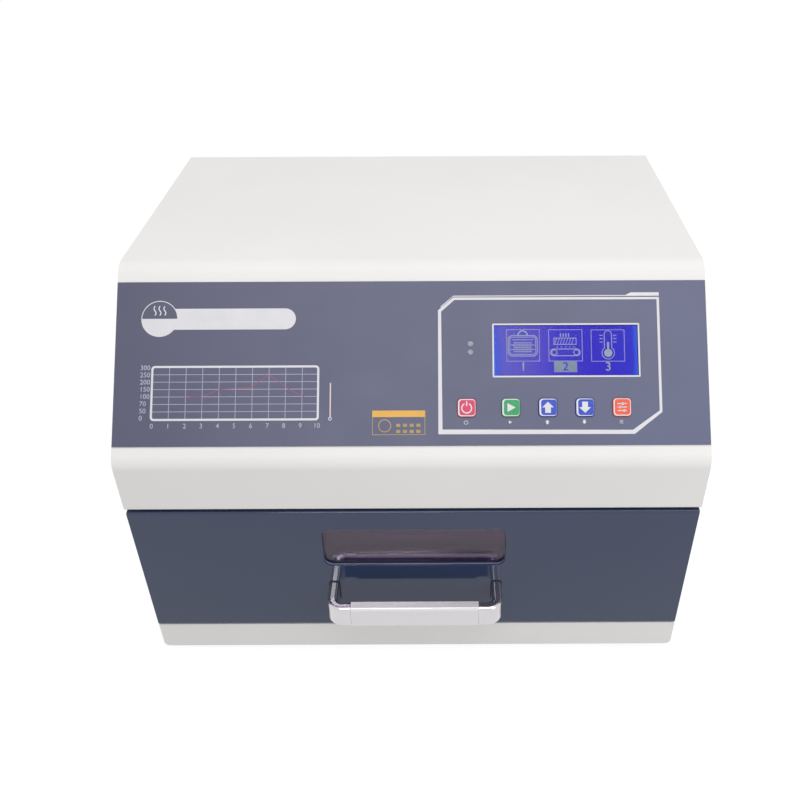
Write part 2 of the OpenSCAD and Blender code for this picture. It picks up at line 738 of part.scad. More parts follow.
module transformer() {
    tx = power_x + 6;
    ty = shelf_y0 + core_gap;
    z0 = shelf_z + sheet;
    color("dimgray") difference() {
        plate(tx - 33, tx + 33, ty - 14, ty + 14, z0, z0 + 55);
        for (s = [-1, 1]) plate(tx + s * 16.5 - 5.5, tx + s * 16.5 + 5.5, ty - 15, ty + 15, z0 + 11, z0 + 44);
    }
    color("goldenrod") translate([0, 0, z0 + 11.2]) difference() {
        translate([tx, ty, 0]) linear_extrude(32.6) round_rect(43.6, 52, 6);
        plate(tx - 11.1, tx + 11.1, ty - 14.1, ty + 14.1, -1, 34);
        for (s = [-1, 1]) plate(tx + s * 27 - 5.1, tx + s * 27 + 5.1, ty - 14.1, ty + 14.1, -1, 34);
    }
}

// ---------- control face ----------

board_w = 158;
board_s0 = key_y - 9;
board_s1 = lcd_y + lcd_h / 2 + 12;
board_x = lcd_x - 10;
board_stud_xs = [board_x - board_w / 2 + 5, board_x + board_w / 2 - 5];
board_stud_ys = [board_s0 + 5, board_s1 - 5];

module control_overlay() {
    color("slategray") on_slope() difference() {
        translate([-overlay_w / 2, overlay_low, 0]) cube([overlay_w, overlay_len, overlay_t]);
        translate([lcd_x, lcd_y, -1]) linear_extrude(3) square([lcd_w, lcd_h], center = true);
        for (x = key_xs) translate([x, key_y, -1]) linear_extrude(3) round_rect(key_w + 0.5, key_w + 0.5, key_r + 0.25);
        for (s = [-0.5, 0.5]) translate([lamp_x, lamp_y + s * lamp_pitch, -1]) cylinder(d = lamp_d + 0.2, h = 3);
    }
}

module lcd_window() {
    color("blue", 0.4) on_slope() translate([lcd_x, lcd_y, -1.2])
        linear_extrude(1.2 + overlay_t) square([lcd_w - 0.1, lcd_h - 0.1], center = true);
}

module lcd_module() {
    front = -1.5;
    on_slope() translate([lcd_x, lcd_y, 0]) {
        color("midnightblue") translate([0, 0, front - 5.5]) linear_extrude(5.5) square([lcd_w + 3.4, lcd_h + 2.4], center = true);
        color("darkgreen") translate([0, 0, board_n + 0.2]) linear_extrude(front - 5.5 - board_n - 0.2)
            square([lcd_w + 16, lcd_h + 12], center = true);
    }
}

module indicator_lights() {
    color("gray") on_slope() for (s = [-0.5, 0.5]) translate([lamp_x, lamp_y + s * lamp_pitch, board_n]) {
        cylinder(d = lamp_d, h = -board_n + overlay_t);
        translate([0, 0, -board_n + overlay_t - 0.6]) intersection() {
            sphere(d = lamp_d);
            cylinder(d = lamp_d + 1, h = 1.1);
        }
    }
}

module control_board() {
    on_slope() {
        color("darkgreen") difference() {
            translate([board_x - board_w / 2, board_s0, board_n - board_t]) cube([board_w, board_s1 - board_s0, board_t]);
            for (x = board_stud_xs, y = board_stud_ys) translate([x, y, board_n - board_t - 1]) cylinder(d = 2.8, h = board_t + 2);
        }
        // Push switches under the keys
        color("black") for (x = key_xs) translate([x, key_y, board_n]) difference() {
            translate([-3.1, -3.1, 0]) cube([6.2, 6.2, switch_top - board_n]);
            translate([0, 0, 1.2]) cylinder(d = stem_d + 0.6, h = 5);
        }
        // Processor and its neighbours on the back
        color("black") for (c = [[-30, 34, 14], [4, 34, 10], [34, 30, 12]])
            translate([board_x + c[0] - c[2] / 2, board_s0 + c[1], board_n - board_t - 2]) cube([c[2], c[2], 2]);
    }
}

// A key at its place on the slope: cap, retaining flange and stem
module key_at(x, tint) {
    color(tint) on_slope() translate([x, key_y, 0]) {
        top = overlay_t + key_rise;
        flange_top = -sheet - 0.2;
        translate([0, 0, flange_top - eps]) linear_extrude(top - 0.5 - flange_top + eps) round_rect(key_w, key_w, key_r);
        translate([0, 0, top - 0.5]) linear_extrude(0.5, scale = (key_w - 0.8) / key_w) round_rect(key_w, key_w, key_r);
        translate([0, 0, flange_top - 1.2]) linear_extrude(1.2) round_rect(key_w + 2.4, key_w + 2.4, key_r);
        translate([0, 0, switch_top - 0.8]) cylinder(d = stem_d, h = flange_top - 1 - switch_top + 0.8);
    }
}

module key_power() { key_at(key_xs[0], "crimson"); }
module key_run() { key_at(key_xs[1], "mediumseagreen"); }
module key_up() { key_at(key_xs[2], "royalblue"); }
module key_down() { key_at(key_xs[3], "royalblue"); }
module key_set() { key_at(key_xs[4], "coral"); }

// ---------- rear ----------

fan_bore = fan_w - 4;

module at_fan() {
    translate([fan_x, case_d - sheet - fan_t, fan_z]) rotate([-90, 0, 0]) children();
}

module cooling_fan_frame() {
    hub_d = fan_w * 0.42;
    color("darkslategray") at_fan() {
        difference() {
            union() {
                difference() {
                    linear_extrude(fan_t) round_rect(fan_w, fan_w, 4);
                    translate([0, 0, -1]) cylinder(d = fan_bore, h = fan_t + 2);
                }
                // Struts and the motor's seat
                for (a = [45:90:315]) rotate([0, 0, a]) translate([hub_d / 2 - 2, -1.5, 0]) cube([fan_bore / 2 - hub_d / 2 + 3, 3, 3]);
                cylinder(d = hub_d, h = 3);
            }
            for (x = [-1, 1], y = [-1, 1]) translate([x * fan_pitch / 2, y * fan_pitch / 2, -1])
                cylinder(d = screw_d + 0.3, h = fan_t + 2);
            translate([0, 0, -1]) cylinder(d = 3 + 2 * running, h = 6);
        }
    }
}

module cooling_fan_rotor() {
    hub_d = fan_w * 0.42;
    tip_r = fan_bore / 2 - 1.2;
    z0 = 3.6;
    h = fan_t - z0 - 1.5;
    color("dimgray") at_fan() {
        translate([0, 0, z0]) cylinder(d = hub_d, h = h);
        translate([0, 0, 0.4]) cylinder(d = 3, h = z0);
        for (i = [0:fan_blades - 1]) rotate([0, 0, i * 360 / fan_blades]) translate([hub_d / 2 - 2, 0, z0 + h / 2])
            rotate([38, 0, 0]) translate([0, -11, -0.7]) intersection() {
                cube([tip_r - hub_d / 2 + 1.2, 22, 1.4]);
                translate([-hub_d / 2 + 2, 11, -1]) cylinder(r = tip_r - 0.6, h = 4);
            }
    }
}

module fan_guard() {
    wire = 1.8;
    gap = 3;
    rings = [0.22, 0.42, 0.62, 0.82, 0.99];
    color("silver") translate([fan_x, case_d + gap, fan_z]) rotate([-90, 0, 0]) {
        for (k = rings) rotate_extrude() translate([k * (fan_w / 2 - 2), 0]) circle(d = wire, $fn = 24);
        for (a = [45:90:315]) rotate([0, 0, a]) translate([0.2 * fan_w / 2, 0, wire * 0.8]) rotate([0, 90, 0])
            cylinder(d = wire, h = fan_pitch / sqrt(2) - 0.2 * fan_w / 2, $fn = 24);
        // Eyes under the screws
        for (a = [45:90:315]) rotate([0, 0, a]) translate([fan_pitch / sqrt(2), 0, -gap]) difference() {
            cylinder(d = 9, h = gap + wire);
            translate([0, 0, -1]) cylinder(d = screw_d + 0.3, h = gap + wire + 2);
        }
    }
}

module exhaust_pipe() {
    color("silver") translate([0, 0, pipe_z]) rotate([-90, 0, 0]) difference() {
        union() {
            translate([0, 0, chamber_y1 - tray_t]) cylinder(d = pipe_d, h = rear_reach - chamber_y1 + tray_t);
            translate([0, 0, case_d]) cylinder(d = pipe_d + 24, h = 1.5);
        }
        translate([0, 0, chamber_y1 - tray_t - 1]) cylinder(d = pipe_d - 2 * pipe_t, h = rear_reach);
        for (a = [45:90:315]) rotate([0, 0, a]) translate([pipe_d / 2 + 7, 0, case_d - 1]) cylinder(d = screw_d + 0.3, h = 4);
    }
}

inlet_body_w = 27;
inlet_body_h = 20;
inlet_screw_x = 20;
inlet_screw_d = 3.2;
inlet_flange_t = 3;
inlet_cavity = [23.5, 16, 14];
blade_set_in = 5.5;                 // from the inlet's face to the blades' tips

module inlet_socket() {
    depth = 18;
    back = case_d - depth;
    color("black") difference() {
        union() {
            translate([inlet_x, case_d + inlet_flange_t, inlet_z]) rotate([90, 0, 0]) linear_extrude(inlet_flange_t) {
                square([2 * inlet_screw_x, 10], center = true);
                square([inlet_body_w + 4, inlet_body_h + 4], center = true);
                for (s = [-1, 1]) translate([s * inlet_screw_x, 0]) circle(d = 10);
            }
            plate(inlet_x - inlet_body_w / 2, inlet_x + inlet_body_w / 2, back, case_d + 1,
                  inlet_z - inlet_body_h / 2, inlet_z + inlet_body_h / 2);
        }
        translate([inlet_x, case_d + inlet_flange_t + 1, inlet_z]) rotate([90, 0, 0]) linear_extrude(inlet_cavity[2] + 1)
            inlet_outline(inlet_cavity[0], inlet_cavity[1]);
        for (s = [-1, 1]) translate([inlet_x + s * inlet_screw_x, case_d - 2, inlet_z]) rotate([-90, 0, 0])
            cylinder(d = inlet_screw_d, h = 8);
    }
    // Blades: line, earth and neutral
    for (p = [[-7, -2], [0, 2], [7, -2]]) color("gold")
        plate(inlet_x + p[0] - 1, inlet_x + p[0] + 1, back - 8, case_d + inlet_flange_t - blade_set_in,
              inlet_z + p[1] - 2, inlet_z + p[1] + 2);
}

// Outline of the inlet's cavity, with two corners cut off
module inlet_outline(w, h) {
    c = 5;
    polygon([[-w / 2, -h / 2], [w / 2, -h / 2], [w / 2, h / 2 - c], [w / 2 - c, h / 2], [-w / 2 + c, h / 2], [-w / 2, h / 2 - c]]);
}

switch_body_w = rocker_w + 3;
switch_body_h = rocker_l + 3;
rocker_axis = 1;      // the rocker's axis inside the panel's outer face

module switch_housing() {
    depth = 16;
    color("black") difference() {
        union() {
            plate(switch_x - switch_body_w / 2 - 1.5, switch_x + switch_body_w / 2 + 1.5, case_d, case_d + 2,
                  inlet_z - switch_body_h / 2 - 1.5, inlet_z + switch_body_h / 2 + 1.5);
            plate(switch_x - switch_body_w / 2, switch_x + switch_body_w / 2, case_d - depth, case_d + eps,
                  inlet_z - switch_body_h / 2, inlet_z + switch_body_h / 2);
        }
        plate(switch_x - rocker_w / 2 - 0.3, switch_x + rocker_w / 2 + 0.3, case_d - depth + 3, case_d + 3,
              inlet_z - rocker_l / 2 - 0.5, inlet_z + rocker_l / 2 + 0.5);
        translate([switch_x, case_d - rocker_axis, inlet_z]) rotate([0, 90, 0])
            cylinder(d = 2.6 + 2 * running, h = switch_body_w - 0.8, center = true);
    }
    // Terminals
    color("gold") for (z = [-5, 5]) plate(switch_x - 3, switch_x + 3, case_d - depth - 8, case_d - depth,
                                          inlet_z + z - 0.4, inlet_z + z + 0.4);
}

module power_rocker() {
    color("firebrick") translate([switch_x, case_d - rocker_axis, inlet_z]) rotate([-rocker_tip / 2, 0, 0]) {
        // Shallow vee face over a narrower back
        rotate([90, 0, 90]) linear_extrude(rocker_w, center = true)
            polygon([[-3, -rocker_l / 2 + 3.5], [3.6, -rocker_l / 2 + 0.6], [2.4, 0], [3.6, rocker_l / 2 - 0.6],
                     [-3, rocker_l / 2 - 3.5]]);
        rotate([0, 90, 0]) cylinder(d = 2.6, h = switch_body_w - 1.2, center = true);
    }
}

// ---------- slides ----------

// Where a slide's section stands: X from the side frame's face towards the drawer, Y up
module slide_section(y0, length) {
    translate([frame_x, y0 + length, slide_z]) rotate([90, 0, 0]) mirror([1, 0, 0])
        linear_extrude(length) children();
}

module channel(x0, x1, half_out, half_in, web_at_x0) {
    for (s = [-1, 1]) translate([x0, s > 0 ? half_in : -half_out]) square([x1 - x0, half_out - half_in]);
    translate([web_at_x0 ? x0 : x1 - slide_t, -half_out]) square([slide_t, 2 * half_out]);
}

module slide_outer() {
    lip = race * 0.75;
    color("lightgray") difference() {
        slide_section(slide_y0, slide_len) {
            channel(0, slide_w - 2.2, slide_h / 2, outer_in, true);
            for (s = [-1, 1]) translate([slide_w - 2.2 - slide_t, s > 0 ? outer_in - lip : -outer_in]) square([slide_t, lip]);
        }
        for (y = slide_hole_ys) translate([frame_x - slide_t - 1, y, slide_z]) rotate([0, 90, 0]) cylinder(d = rivet_d, h = slide_t + 2);
    }
}

module slide_middle() {
    color("silver") slide_section(slide_y0, slide_len) channel(slide_t + 0.5, slide_w - 1.6, mid_out, mid_in, true);
    // Ball retainers: outer races at the rear, inner races at the front
    rows = [[slide_y0 + slide_len - 12, -1, (outer_in + mid_out) / 2, 5.5], [slide_y0 + 12, 1, (mid_in + inner_out) / 2, 7.5]];
    for (row = rows, s = [-1, 1]) color("darkgoldenrod") ball_row(row, s);
}

// Balls in their retainer strip
module ball_row(row, s) {
    strip = (ball_count - 1) * ball_pitch + ball_d + 2;
    x = frame_x - row[3];
    y = row[0] - (row[1] < 0 ? strip : 0);
    z = slide_z + s * row[2];
    union() {
        plate(x - 0.5, x + 0.5, y, y + strip, z - ball_d * 0.32, z + ball_d * 0.32);
        for (i = [0:ball_count - 1]) translate([x, y + ball_d / 2 + 1 + i * ball_pitch, z]) sphere(d = ball_d, $fn = 24);
    }
}

module slide_inner() {
    color("lightgray") difference() {
        slide_section(box_y0 + 2, slide_len) channel(4, slide_w, inner_out, inner_in, false);
        for (y = slide_hole_ys) translate([box_w / 2 - 1, y, slide_z]) rotate([0, 90, 0]) cylinder(d = rivet_d, h = slide_t + 2);
    }
}

module slide_outer_left() { on_side(-1) slide_outer(); }
module slide_outer_right() { on_side(1) slide_outer(); }
module slide_middle_left() { on_side(-1) slide_middle(); }
module slide_middle_right() { on_side(1) slide_middle(); }
module slide_inner_left() { on_side(-1) slide_inner(); }
module slide_inner_right() { on_side(1) slide_inner(); }

// ---------- drawer ----------

window_mid = window_z + window_h / 2;

// The window's outline grown by a margin, through a stretch of Y
module window_cut(y0, y1, grow, r) {
    translate([0, y1, window_mid]) rotate([90, 0, 0]) linear_extrude(y1 - y0)
        round_rect(window_w + 2 * grow, window_h + 2 * grow, r);
}

module for_handle_screws() {
    for (s = [-1, 1]) translate([s * handle_pitch / 2, 0, handle_z]) rotate([-90, 0, 0]) children();
}

module drawer_front() {
    path = [[front_depth, front_z0], [0, front_z0], [0, front_z1], [front_depth, front_z1]];
    color("darkslategray") difference() {
        union() {
            bent_sheet(front_w, path, [0, fold_r, fold_r, 0]);
            for (s = [-1, 1]) on_side(s) plate(front_w / 2 - sheet, front_w / 2, sheet / 2, front_depth,
                                               front_z0 + sheet / 2, front_z1 - sheet / 2);
        }
        window_cut(-1, sheet + 1, 0, window_r);
        for_handle_screws() translate([0, 0, -1]) cylinder(d = 5.3, h = sheet + 2);
    }
}

module drawer_inner_panel() {
    m = sheet + seat;
    color("silver") difference() {
        plate(-front_w / 2 + m, front_w / 2 - m, front_depth - sheet, front_depth, front_z0 + m, front_z1 - m);
        window_cut(front_depth - sheet - 1, front_depth + 1, 0, window_r);
    }
}

module drawer_front_insulation() {
    m = sheet + 1;
    y0 = sheet + 4;
    y1 = front_depth - sheet;
    color("white") difference() {
        plate(-front_w / 2 + m, front_w / 2 - m, y0, y1, front_z0 + m, front_z1 - m);
        window_cut(y0 - 1, y1 + 1, frame_border + seat, window_r + frame_border);
        for_handle_screws() cylinder(d = screw_relief_d, h = front_depth);
    }
}

screw_relief_d = 14;   // hole in the wool round a handle screw
frame_border = 10;     // how far the window's frame laps round the window
pane_lap = 6;          // how far a pane laps behind the window's edge
pane_y = [sheet + 1.5, front_depth - sheet - 1 - glass_t];

module window_frame() {
    color("dimgray") difference() {
        window_cut(sheet, front_depth - sheet, frame_border, window_r + frame_border);
        window_cut(0, front_depth, 0, window_r);
        window_cut(pane_y[0] - seat / 2, pane_y[0] + glass_t + seat / 2, pane_lap + seat, window_r + pane_lap);
        window_cut(pane_y[1] - seat / 2, pane_y[1] + glass_t + seat / 2, pane_lap + seat, window_r + pane_lap);
    }
}

module pane(y) {
    color("dimgray", 0.5) window_cut(y, y + glass_t, pane_lap, window_r + pane_lap);
}
module window_outer_glass() { pane(pane_y[0]); }
module window_inner_glass() { pane(pane_y[1]); }

corner_step = 0.4;     // the corner castings are this much thinner than the bar all round

// Section of a corner casting: X is its thickness, Y its height
module handle_section(edge) {
    translate([handle_t / 2, handle_h / 2]) round_rect(handle_t - 2 * corner_step, handle_h - 2 * corner_step, edge);
}

module handle_bar() {
    color("lightgray") translate([-handle_bar_w / 2, -handle_reach, handle_z - handle_h / 2])
        rotate([90, 0, 90]) linear_extrude(handle_bar_w) {
            c = 1.6;
            polygon([[c, 0], [handle_t - c / 2, 0], [handle_t, c / 2], [handle_t, handle_h - c / 2],
                     [handle_t - c / 2, handle_h], [c, handle_h], [0, handle_h - c], [0, c]]);
        }
}

// Corner casting: a short arm that meets the bar, a bend and a leg to the drawer's face
module handle_corner() {
    edge = 2.6;
    x_out = handle_pitch / 2 + handle_t / 2;
    arm = x_out - handle_r - handle_bar_w / 2;
    leg = handle_reach - handle_r;
    z0 = handle_z - handle_h / 2;
    color("gainsboro") difference() {
        union() {
            // Arm
            translate([handle_bar_w / 2, -handle_reach, z0]) rotate([90, 0, 90]) linear_extrude(arm) handle_section(edge);
            // Bend
            translate([x_out - handle_r, -handle_reach + handle_r, z0]) rotate([0, 0, -90]) rotate_extrude(angle = 90)
                translate([handle_r - handle_t, 0]) handle_section(edge);
            // Leg
            translate([x_out - handle_t, 0, z0]) rotate([90, 0, 0]) linear_extrude(leg) handle_section(edge);
        }
        translate([handle_pitch / 2, 0, handle_z]) rotate([90, 0, 0]) cylinder(d = 4.2, h = 12);
    }
}

module handle_corner_left() { on_side(-1) handle_corner(); }
module handle_corner_right() { on_side(1) handle_corner(); }

module handle_screws() {
    color("silver") for_handle_screws() translate([0, 0, sheet]) mirror([0, 0, 1]) pan_screw(4.1, 10);
}

module drawer_shell() {
    color("lightgray") difference() {
        plate(-box_w / 2, box_w / 2, box_y0, box_y1, drawer_z, rim_z - tray_t);
        plate(-box_w / 2 + shell_t, box_w / 2 - shell_t, box_y0 - 1, box_y1 - shell_t, wool_z, rim_z + 1);
        for (s = [-1, 1], y = slide_hole_ys) translate([s * box_w / 2, y, slide_z]) rotate([0, 90, 0])
            cylinder(d = rivet_d, h = 4 * shell_t, center = true);
    }
}

module tray_outline(grow) {
    translate([0, tray_y + tray_out_d / 2]) round_rect(tray_out_w + 2 * grow, tray_out_d + 2 * grow, tray_r + grow);
}

module drawer_insulation() {
    color("white") difference() {
        plate(-box_w / 2 + shell_t, box_w / 2 - shell_t, box_y0, box_y1 - shell_t, wool_z, rim_z - tray_t);
        translate([0, 0, tray_z]) linear_extrude(rim_z) tray_outline(0);
    }
}

module drawer_tray() {
    color("lightsteelblue") {
        difference() {
            union() {
                translate([0, 0, tray_z]) linear_extrude(rim_z - tray_z) tray_outline(0);
                plate(-box_w / 2, box_w / 2, box_y0, box_y1, rim_z - tray_t, rim_z);
            }
            translate([0, 0, tray_z + tray_t]) linear_extrude(rim_z) tray_outline(-tray_t);
        }
        // Ledges that carry the rack
        for (s = [-1, 1]) on_side(s) plate(tray_w / 2 - 9, tray_w / 2 + eps, tray_y + 24, tray_y + tray_out_d - 24,
                                           ledge_z - 1.2, ledge_z);
    }
}

ledge_z = tray_z + tray_t + ledge_h;

module wire_rack() {
    rack_w = tray_w - 5;
    rack_d = tray_d - 8;
    side_x = rack_w / 2 - side_wire_d / 2;
    y0 = tray_y + tray_t + 4;
    z_side = ledge_z + side_wire_d / 2;
    z_cross = z_side + side_wire_d / 2 + wire_d / 2 - 0.4;
    color("silver") union() {
        for (s = [-1, 1]) translate([s * side_x, y0, z_side]) rotate([-90, 0, 0]) cylinder(d = side_wire_d, h = rack_d);
        for (i = [0:wire_count - 1])
            along_x(-rack_w / 2, rack_w / 2, y0 + wire_d + i * (rack_d - 2 * wire_d) / (wire_count - 1), z_cross, wire_d);
    }
}

// ---------- the part ----------

module in_frame() {
    translate([0, -mid_y, 0]) children();
}

in_frame() {
    base_pan();
    left_side_panel();
    right_side_panel();
    rear_panel();
    top_cover();
    front_frame();
    left_side_frame();
    right_side_frame();
    hood_shell();
    hood_insulation();
    hood_liner();
    reflector();
    heater_tubes();
    tube_end_caps();
    thermocouple();
    electronics_shelf();
    circulation_motor();
    circulation_impeller();
    power_board();
    transformer();
    control_overlay();
    lcd_window();
    lcd_module();
    indicator_lights();
    control_board();
    cooling_fan_frame();
    cooling_fan_rotor();
    fan_guard();
    exhaust_pipe();
    inlet_socket();
    switch_housing();
    power_rocker();
    slide_outer_left();
    slide_outer_right();
    slide_middle_left();
    slide_middle_right();
    slide_inner_left();
    slide_inner_right();
    rubber_feet();
    case_screws();
    drawer_front();
    drawer_inner_panel();
    drawer_front_insulation();
    window_outer_glass();
    window_inner_glass();
    window_frame();
    handle_bar();
    handle_corner_left();
    handle_corner_right();
    handle_screws();
    drawer_shell();
    drawer_insulation();
    drawer_tray();
    wire_rack();
    key_power();
    key_run();
    key_up();
    key_down();
    key_set();
}
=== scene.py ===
import json
import math
import bpy
from mathutils import Matrix, Vector

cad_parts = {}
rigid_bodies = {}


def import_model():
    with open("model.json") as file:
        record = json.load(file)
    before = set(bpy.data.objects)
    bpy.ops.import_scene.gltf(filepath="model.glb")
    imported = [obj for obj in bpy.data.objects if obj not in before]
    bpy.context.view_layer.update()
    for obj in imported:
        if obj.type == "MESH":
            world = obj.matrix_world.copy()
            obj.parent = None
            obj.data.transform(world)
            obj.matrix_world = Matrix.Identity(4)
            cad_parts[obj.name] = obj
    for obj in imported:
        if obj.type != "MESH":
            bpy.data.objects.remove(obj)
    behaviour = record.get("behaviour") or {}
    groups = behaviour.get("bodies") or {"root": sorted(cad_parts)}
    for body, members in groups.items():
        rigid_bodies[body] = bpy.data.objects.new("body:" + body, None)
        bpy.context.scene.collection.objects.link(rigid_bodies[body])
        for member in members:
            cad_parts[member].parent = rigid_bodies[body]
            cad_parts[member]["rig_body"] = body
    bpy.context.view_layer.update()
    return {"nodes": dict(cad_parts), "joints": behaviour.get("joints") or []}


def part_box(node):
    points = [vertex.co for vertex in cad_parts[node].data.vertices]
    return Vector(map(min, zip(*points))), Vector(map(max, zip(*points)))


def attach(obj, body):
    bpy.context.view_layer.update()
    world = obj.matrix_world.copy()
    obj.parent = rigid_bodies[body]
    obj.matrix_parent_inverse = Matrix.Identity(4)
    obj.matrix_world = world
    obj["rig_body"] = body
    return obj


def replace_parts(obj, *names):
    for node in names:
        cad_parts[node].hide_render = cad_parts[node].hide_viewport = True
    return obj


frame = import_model()
nodes = frame["nodes"]
print("frame loaded:", len(nodes), "nodes")


# small helpers for modelling by operators
def deselectAll():
    bpy.ops.object.select_all(action="DESELECT")


def pick(*objs):
    deselectAll()
    for obj in objs:
        obj.select_set(True)
    bpy.context.view_layer.objects.active = objs[0]
    return objs[0]


def joinAll(objs):
    pick(*objs)
    if len(objs) > 1:
        bpy.ops.object.join()
    return bpy.context.object


def settle():
    # the active piece keeps its shape and place, and its object goes back to the origin
    bpy.ops.object.transform_apply(location=True, rotation=True, scale=True)
    return bpy.context.object


def applyPlace(obj, place):
    pick(obj)
    obj.matrix_world = place @ obj.matrix_world
    return settle()


def applyModifier(obj, kind, **settings):
    pick(obj)
    modifier = obj.modifiers.new(kind.lower(), kind)
    for key, value in settings.items():
        setattr(modifier, key, value)
    bpy.ops.object.modifier_apply(modifier=modifier.name)
    return obj


# flat shapes, drawn in millimetres
def drawRect(x0, y0, x1, y1, corner=0.0, steps=6):
    deselectAll()
    bpy.ops.mesh.primitive_plane_add(size=1, location=((x0 + x1) / 2, (y0 + y1) / 2, 0))
    bpy.context.object.scale = (x1 - x0, y1 - y0, 1)
    obj = settle()
    if corner:
        bpy.ops.object.mode_set(mode="EDIT")
        bpy.ops.mesh.select_all(action="SELECT")
        bpy.ops.mesh.bevel(offset=corner, segments=steps, affect="VERTICES")
        bpy.ops.object.mode_set(mode="OBJECT")
    return obj


def openMiddle(obj, width):
    # a flat face becomes a band of that width along its edge
    pick(obj)
    bpy.ops.object.mode_set(mode="EDIT")
    bpy.ops.mesh.select_all(action="SELECT")
    bpy.ops.mesh.inset(thickness=width)
    bpy.ops.mesh.delete(type="FACE")
    bpy.ops.object.mode_set(mode="OBJECT")
    return obj


def drawFrame(x0, y0, x1, y1, width, corner=0.0):
    return openMiddle(drawRect(x0, y0, x1, y1, corner), width)


def drawDisc(x, y, radius, sides=40):
    deselectAll()
    bpy.ops.mesh.primitive_circle_add(vertices=sides, radius=radius, fill_type="NGON", location=(x, y, 0))
    return settle()


def drawRing(x, y, radius, width, sides=40):
    return openMiddle(drawDisc(x, y, radius, sides), width)


def drawLoops(*loops):
    # a flat curve, filled between its loops
    curve = bpy.data.curves.new("outline", "CURVE")
    curve.dimensions = "2D"
    curve.fill_mode = "BOTH"
    for loop in loops:
        spline = curve.splines.new("POLY")
        spline.points.add(len(loop) - 1)
        for point, (x, y) in zip(spline.points, loop):
            point.co = (x, y, 0, 1)
        spline.use_cyclic_u = True
    obj = bpy.data.objects.new("outline", curve)
    bpy.context.scene.collection.objects.link(obj)
    pick(obj)
    bpy.ops.object.convert(target="MESH")
    return bpy.context.object


def arcPoints(x, y, radius, start, end, steps=16):
    angles = [math.radians(start + (end - start) * i / steps) for i in range(steps + 1)]
    return [(x + radius * math.cos(a), y + radius * math.sin(a)) for a in angles]


def roundLoop(x0, y0, x1, y1, radius):
    loop = []
    for cx, cy, start in ((x1 - radius, y1 - radius, 0), (x0 + radius, y1 - radius, 90),
                          (x0 + radius, y0 + radius, 180), (x1 - radius, y0 + radius, 270)):
        loop += arcPoints(cx, cy, radius, start, start + 90, 8)
    return loop


sharpestJoint = 0.4  # keeps a tight joint of a stroke from growing a spike


def drawStroke(points, width):
    # a band of even width along a path
    path = [Vector(p) for p in points]
    sides = ([], [])
    for i, here in enumerate(path):
        before = (here - path[i - 1]).normalized() if i else (path[1] - here).normalized()
        after = (path[i + 1] - here).normalized() if i < len(path) - 1 else before
        normal = Vector((-before.y - after.y, before.x + after.x)).normalized()
        reach = width / 2 / max(sharpestJoint, normal.dot(Vector((-before.y, before.x))))
        sides[0].append(tuple(here + normal * reach))
        sides[1].append(tuple(here - normal * reach))
    return drawLoops(sides[0] + sides[1][::-1])


figureHeight = 0.7  # of the font's size


def drawText(text, x, y, height, alignX="CENTER", weight=0.0):
    deselectAll()
    bpy.ops.object.text_add(location=(x, y, 0))
    data = bpy.context.object.data
    data.body = text
    data.size = height / figureHeight
    data.align_x = alignX
    data.align_y = "CENTER"
    data.offset = weight
    data.resolution_u = 3
    bpy.ops.object.convert(target="MESH")
    return settle()


# finishes
def tone(red, green, blue):
    # a colour from 0 to 255 as it shows on a screen
    def linear(value):
        value /= 255
        return value / 12.92 if value <= 0.04045 else ((value + 0.055) / 1.055) ** 2.4
    return (linear(red), linear(green), linear(blue), 1.0)


def newFinish(name):
    mat = bpy.data.materials.new(name)
    mat.use_nodes = True
    return mat, mat.node_tree, mat.node_tree.nodes["Principled BSDF"]


def objectCoords(tree, stretch=(1, 1, 1)):
    coords = tree.nodes.new("ShaderNodeTexCoord")
    mapping = tree.nodes.new("ShaderNodeMapping")
    mapping.inputs["Scale"].default_value = stretch
    tree.links.new(coords.outputs["Object"], mapping.inputs["Vector"])
    return mapping.outputs["Vector"]


def noiseAt(tree, coords, scale, detail=3.0):
    node = tree.nodes.new("ShaderNodeTexNoise")
    node.inputs["Scale"].default_value = scale
    node.inputs["Detail"].default_value = detail
    tree.links.new(coords, node.inputs["Vector"])
    return node.outputs["Fac"]


def remap(tree, value, low, high, fromLow=0.3, fromHigh=0.7):
    # most of a noise lies between 0.3 and 0.7
    node = tree.nodes.new("ShaderNodeMapRange")
    for socket, number in (("From Min", fromLow), ("From Max", fromHigh), ("To Min", low), ("To Max", high)):
        node.inputs[socket].default_value = number
    tree.links.new(value, node.inputs["Value"])
    return node.outputs["Result"]


def mixColors(tree, factor, first, second):
    node = tree.nodes.new("ShaderNodeMix")
    node.data_type = "RGBA"
    tree.links.new(factor, node.inputs[0])
    for socket, color in ((6, first), (7, second)):
        if isinstance(color, tuple):
            node.inputs[socket].default_value = color
        else:
            tree.links.new(color, node.inputs[socket])
    return node.outputs[2]


def colorBy(tree, shader, factor, look):
    # two close colours, mixed by a pattern
    mixed = mixColors(tree, factor, look["color"], look["shade"])
    tree.links.new(mixed, shader.inputs["Base Color"])


def driftRough(tree, shader, coords, look):
    # a roughness that changes softly over the piece
    drift = remap(tree, noiseAt(tree, coords, look["drift"]), *look["rough"])
    tree.links.new(drift, shader.inputs["Roughness"])


def addBump(tree, shader, height, strength, distance):
    node = tree.nodes.new("ShaderNodeBump")
    node.inputs["Strength"].default_value = strength
    node.inputs["Distance"].default_value = distance
    tree.links.new(height, node.inputs["Height"])
    tree.links.new(node.outputs["Normal"], shader.inputs["Normal"])


driftRatio = 2.3  # the roughness of a finish changes in smaller patches than its colour


